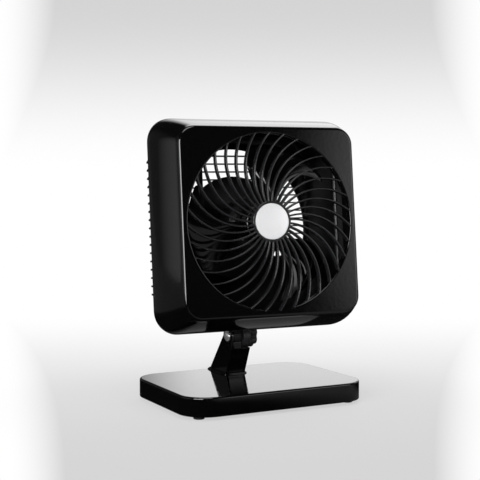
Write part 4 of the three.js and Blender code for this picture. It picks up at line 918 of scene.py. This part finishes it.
# ---- studio -------------------------------------------------------------------------------------
class Shading:
    """Short hand for building a node tree."""

    def __init__(self, tree):
        self.nodes, self.links = tree.nodes, tree.links

    def node(self, kind, **values):
        node = self.nodes.new("ShaderNode" + kind)
        for name, value in values.items():
            setattr(node, name, value)
        return node

    def feed(self, socket, value):
        if isinstance(value, bpy.types.NodeSocket):
            self.links.new(value, socket)
        else:
            socket.default_value = value

    def maths(self, operation, a, b=0.0):
        node = self.node("Math", operation=operation)
        self.feed(node.inputs[0], a)
        self.feed(node.inputs[1], b)
        return node.outputs[0]

    def ease(self, value, low, high, at_low, at_high):
        """Smooth step from one value to another as the input goes from low to high."""
        node = self.node("MapRange", interpolation_type="SMOOTHSTEP")
        for name, number in (("From Min", low), ("From Max", high), ("To Min", at_low), ("To Max", at_high)):
            node.inputs[name].default_value = number
        self.feed(node.inputs["Value"], value)
        return node.outputs["Result"]


def seen_glow(tree, x, y, z):
    """What the camera sees: white, greyer on the floor in front, up the wall and nearer the middle."""
    ahead = tree.maths("MAXIMUM", tree.maths("ADD", y, EYE_BACK), EYE_LEAST)
    aside = tree.maths("DIVIDE", tree.maths("ABSOLUTE", x), ahead)
    floor = tree.maths("MAXIMUM", tree.ease(y, *FLOOR_FADE), tree.ease(y, *FRONT_FADE))
    middle = tree.maths("MULTIPLY", floor, tree.ease(z, *WALL_FADE))
    return tree.maths("MAXIMUM", middle, tree.ease(aside, *SIDE_FADE))


def mirrored_glow(tree, x, y, z):
    """What gloss mirrors: a bright wall, a faint glow at the far left, one on the floor at the right."""
    across = tree.maths("MULTIPLY", tree.ease(x, *MIRRORED_WALL_LEFT), tree.ease(x, *MIRRORED_WALL_RIGHT))
    upright = tree.maths("MULTIPLY", tree.ease(z, *MIRRORED_WALL_FOOT), tree.ease(z, *MIRRORED_WALL_TOP))
    wall = tree.maths("MULTIPLY", upright, across)
    left = tree.ease(x, *MIRRORED_FAR_LEFT)
    right = tree.maths("MULTIPLY", tree.ease(x, *MIRRORED_FLOOR_RIGHT), tree.ease(y, *MIRRORED_FLOOR_FRONT))
    return tree.maths("ADD", tree.maths("ADD", wall, left), right)


def backdrop_material():
    """Pale sweep: it glows to the camera and in gloss, and is matt to all other light.

    Near the object part of what the camera sees is matt too, so that a faint shadow shows there.
    """
    mat = bpy.data.materials.new("pale_studio")
    mat.use_nodes = True
    mat.node_tree.nodes.clear()
    tree = Shading(mat.node_tree)
    place = tree.node("SeparateXYZ")
    tree.links.new(tree.node("TexCoord").outputs["Object"], place.inputs[0])
    x, y, z = place.outputs
    path = tree.node("LightPath").outputs
    seen = tree.maths("MULTIPLY", path["Is Camera Ray"], seen_glow(tree, x, y, z))
    mirrored = tree.maths("MULTIPLY", path["Is Glossy Ray"], mirrored_glow(tree, x, y, z))
    glow = tree.node("Emission")
    tree.feed(glow.inputs["Strength"], tree.maths("ADD", seen, mirrored))
    matt = tree.node("BsdfDiffuse")
    matt.inputs["Color"].default_value = MATT_GREY
    away = tree.maths("SQRT", tree.maths("ADD", tree.maths("MULTIPLY", x, x), tree.maths("MULTIPLY", y, y)))
    to_eye = tree.maths("MULTIPLY", tree.ease(away, *SHADOW_FADE), path["Is Camera Ray"])
    blend = tree.node("MixShader")
    tree.feed(blend.inputs[0], tree.maths("MAXIMUM", to_eye, path["Is Glossy Ray"]))
    tree.links.new(matt.outputs[0], blend.inputs[1])
    tree.links.new(glow.outputs[0], blend.inputs[2])
    tree.links.new(blend.outputs[0], tree.node("OutputMaterial").inputs["Surface"])
    return mat


def studio():
    """A seamless sweep: level floor, then a curve up into an upright backdrop behind the object."""
    section = [(SWEEP_FRONT, 0.0)]
    section += [(SWEEP_BACK - SWEEP_BEND + SWEEP_BEND * math.sin(a), SWEEP_BEND - SWEEP_BEND * math.cos(a))
                for a in quarter(16)]
    section.append((SWEEP_BACK, SWEEP_HEIGHT))
    points = [(x, y, z) for y, z in section for x in (-SWEEP_WIDTH / 2, SWEEP_WIDTH / 2)]
    faces = [(2 * i, 2 * i + 1, 2 * i + 3, 2 * i + 2) for i in range(len(section) - 1)]
    mesh = bpy.data.meshes.new("studio_sweep")
    mesh.from_pydata(points, [], faces)
    for polygon in mesh.polygons:
        polygon.use_smooth = True
    sweep = bpy.data.objects.new("studio_sweep", mesh)
    sweep.rotation_euler.z = -YAW
    bpy.context.scene.collection.objects.link(sweep)
    mesh.materials.append(backdrop_material())


def lamp(name, place, size, power):
    data = bpy.data.lights.new(name, "AREA")
    data.shape = "RECTANGLE"
    data.size, data.size_y = size
    data.energy = power
    obj = bpy.data.objects.new(name, data)
    obj.location = place
    obj.rotation_euler = (Vector(LAMP_TARGET) - Vector(place)).to_track_quat("-Z", "Y").to_euler()
    bpy.context.scene.collection.objects.link(obj)


def soft_glow(tree, direction, heading, inner, outer, strength):
    """A soft round glow of the surroundings about a heading; inner and outer are angles in degrees."""
    dot = tree.node("VectorMath", operation="DOT_PRODUCT")
    tree.links.new(direction, dot.inputs[0])
    dot.inputs[1].default_value = Vector(heading).normalized()
    edges = [math.cos(math.radians(a)) for a in (outer, inner)]
    return tree.ease(dot.outputs["Value"], *edges, 0.0, strength)


def lights():
    """Two softboxes, and a world that is white to the camera and a few soft glows to everything else."""
    for name, (place, size, power) in LAMPS.items():
        lamp(name, place, size, power)
    world = bpy.data.worlds.new("studio_world")
    bpy.context.scene.world = world
    world.use_nodes = True
    tree = Shading(world.node_tree)
    direction = tree.node("TexCoord").outputs["Generated"]
    total = SURROUNDINGS
    for glow in GLOWS:
        total = tree.maths("ADD", soft_glow(tree, direction, *glow), total)
    sky = world.node_tree.nodes["Background"]
    sky.inputs["Color"].default_value = (1, 1, 1, 1)
    seen = tree.node("LightPath").outputs["Is Camera Ray"]
    tree.feed(sky.inputs["Strength"], tree.maths("MAXIMUM", total, seen))


def camera():
    """The photograph's viewing angle: from the left, a little above the middle of the object."""
    data = bpy.data.cameras.new("camera")
    data.lens = LENS
    data.sensor_width = SENSOR
    obj = bpy.data.objects.new("camera", data)
    base_low, base_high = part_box("base_shell")
    middle = (base_low + base_high) / 2
    obj.location = (middle.x - CAMERA_ASIDE, middle.y - CAMERA_BACK, CAMERA_HEIGHT)
    obj.rotation_euler = (math.pi / 2 - PITCH, 0, -YAW)
    bpy.context.scene.collection.objects.link(obj)
    bpy.context.scene.camera = obj


camera()
studio()
lights()
dress_frame()
front_shell()
spiral_grille()
badge()
rear_cover()
propeller()
base()
arm()
tilt_knob()
tilt_bolt()
speed_knob()
feet()
bpy.context.scene.view_settings.view_transform = "Standard"
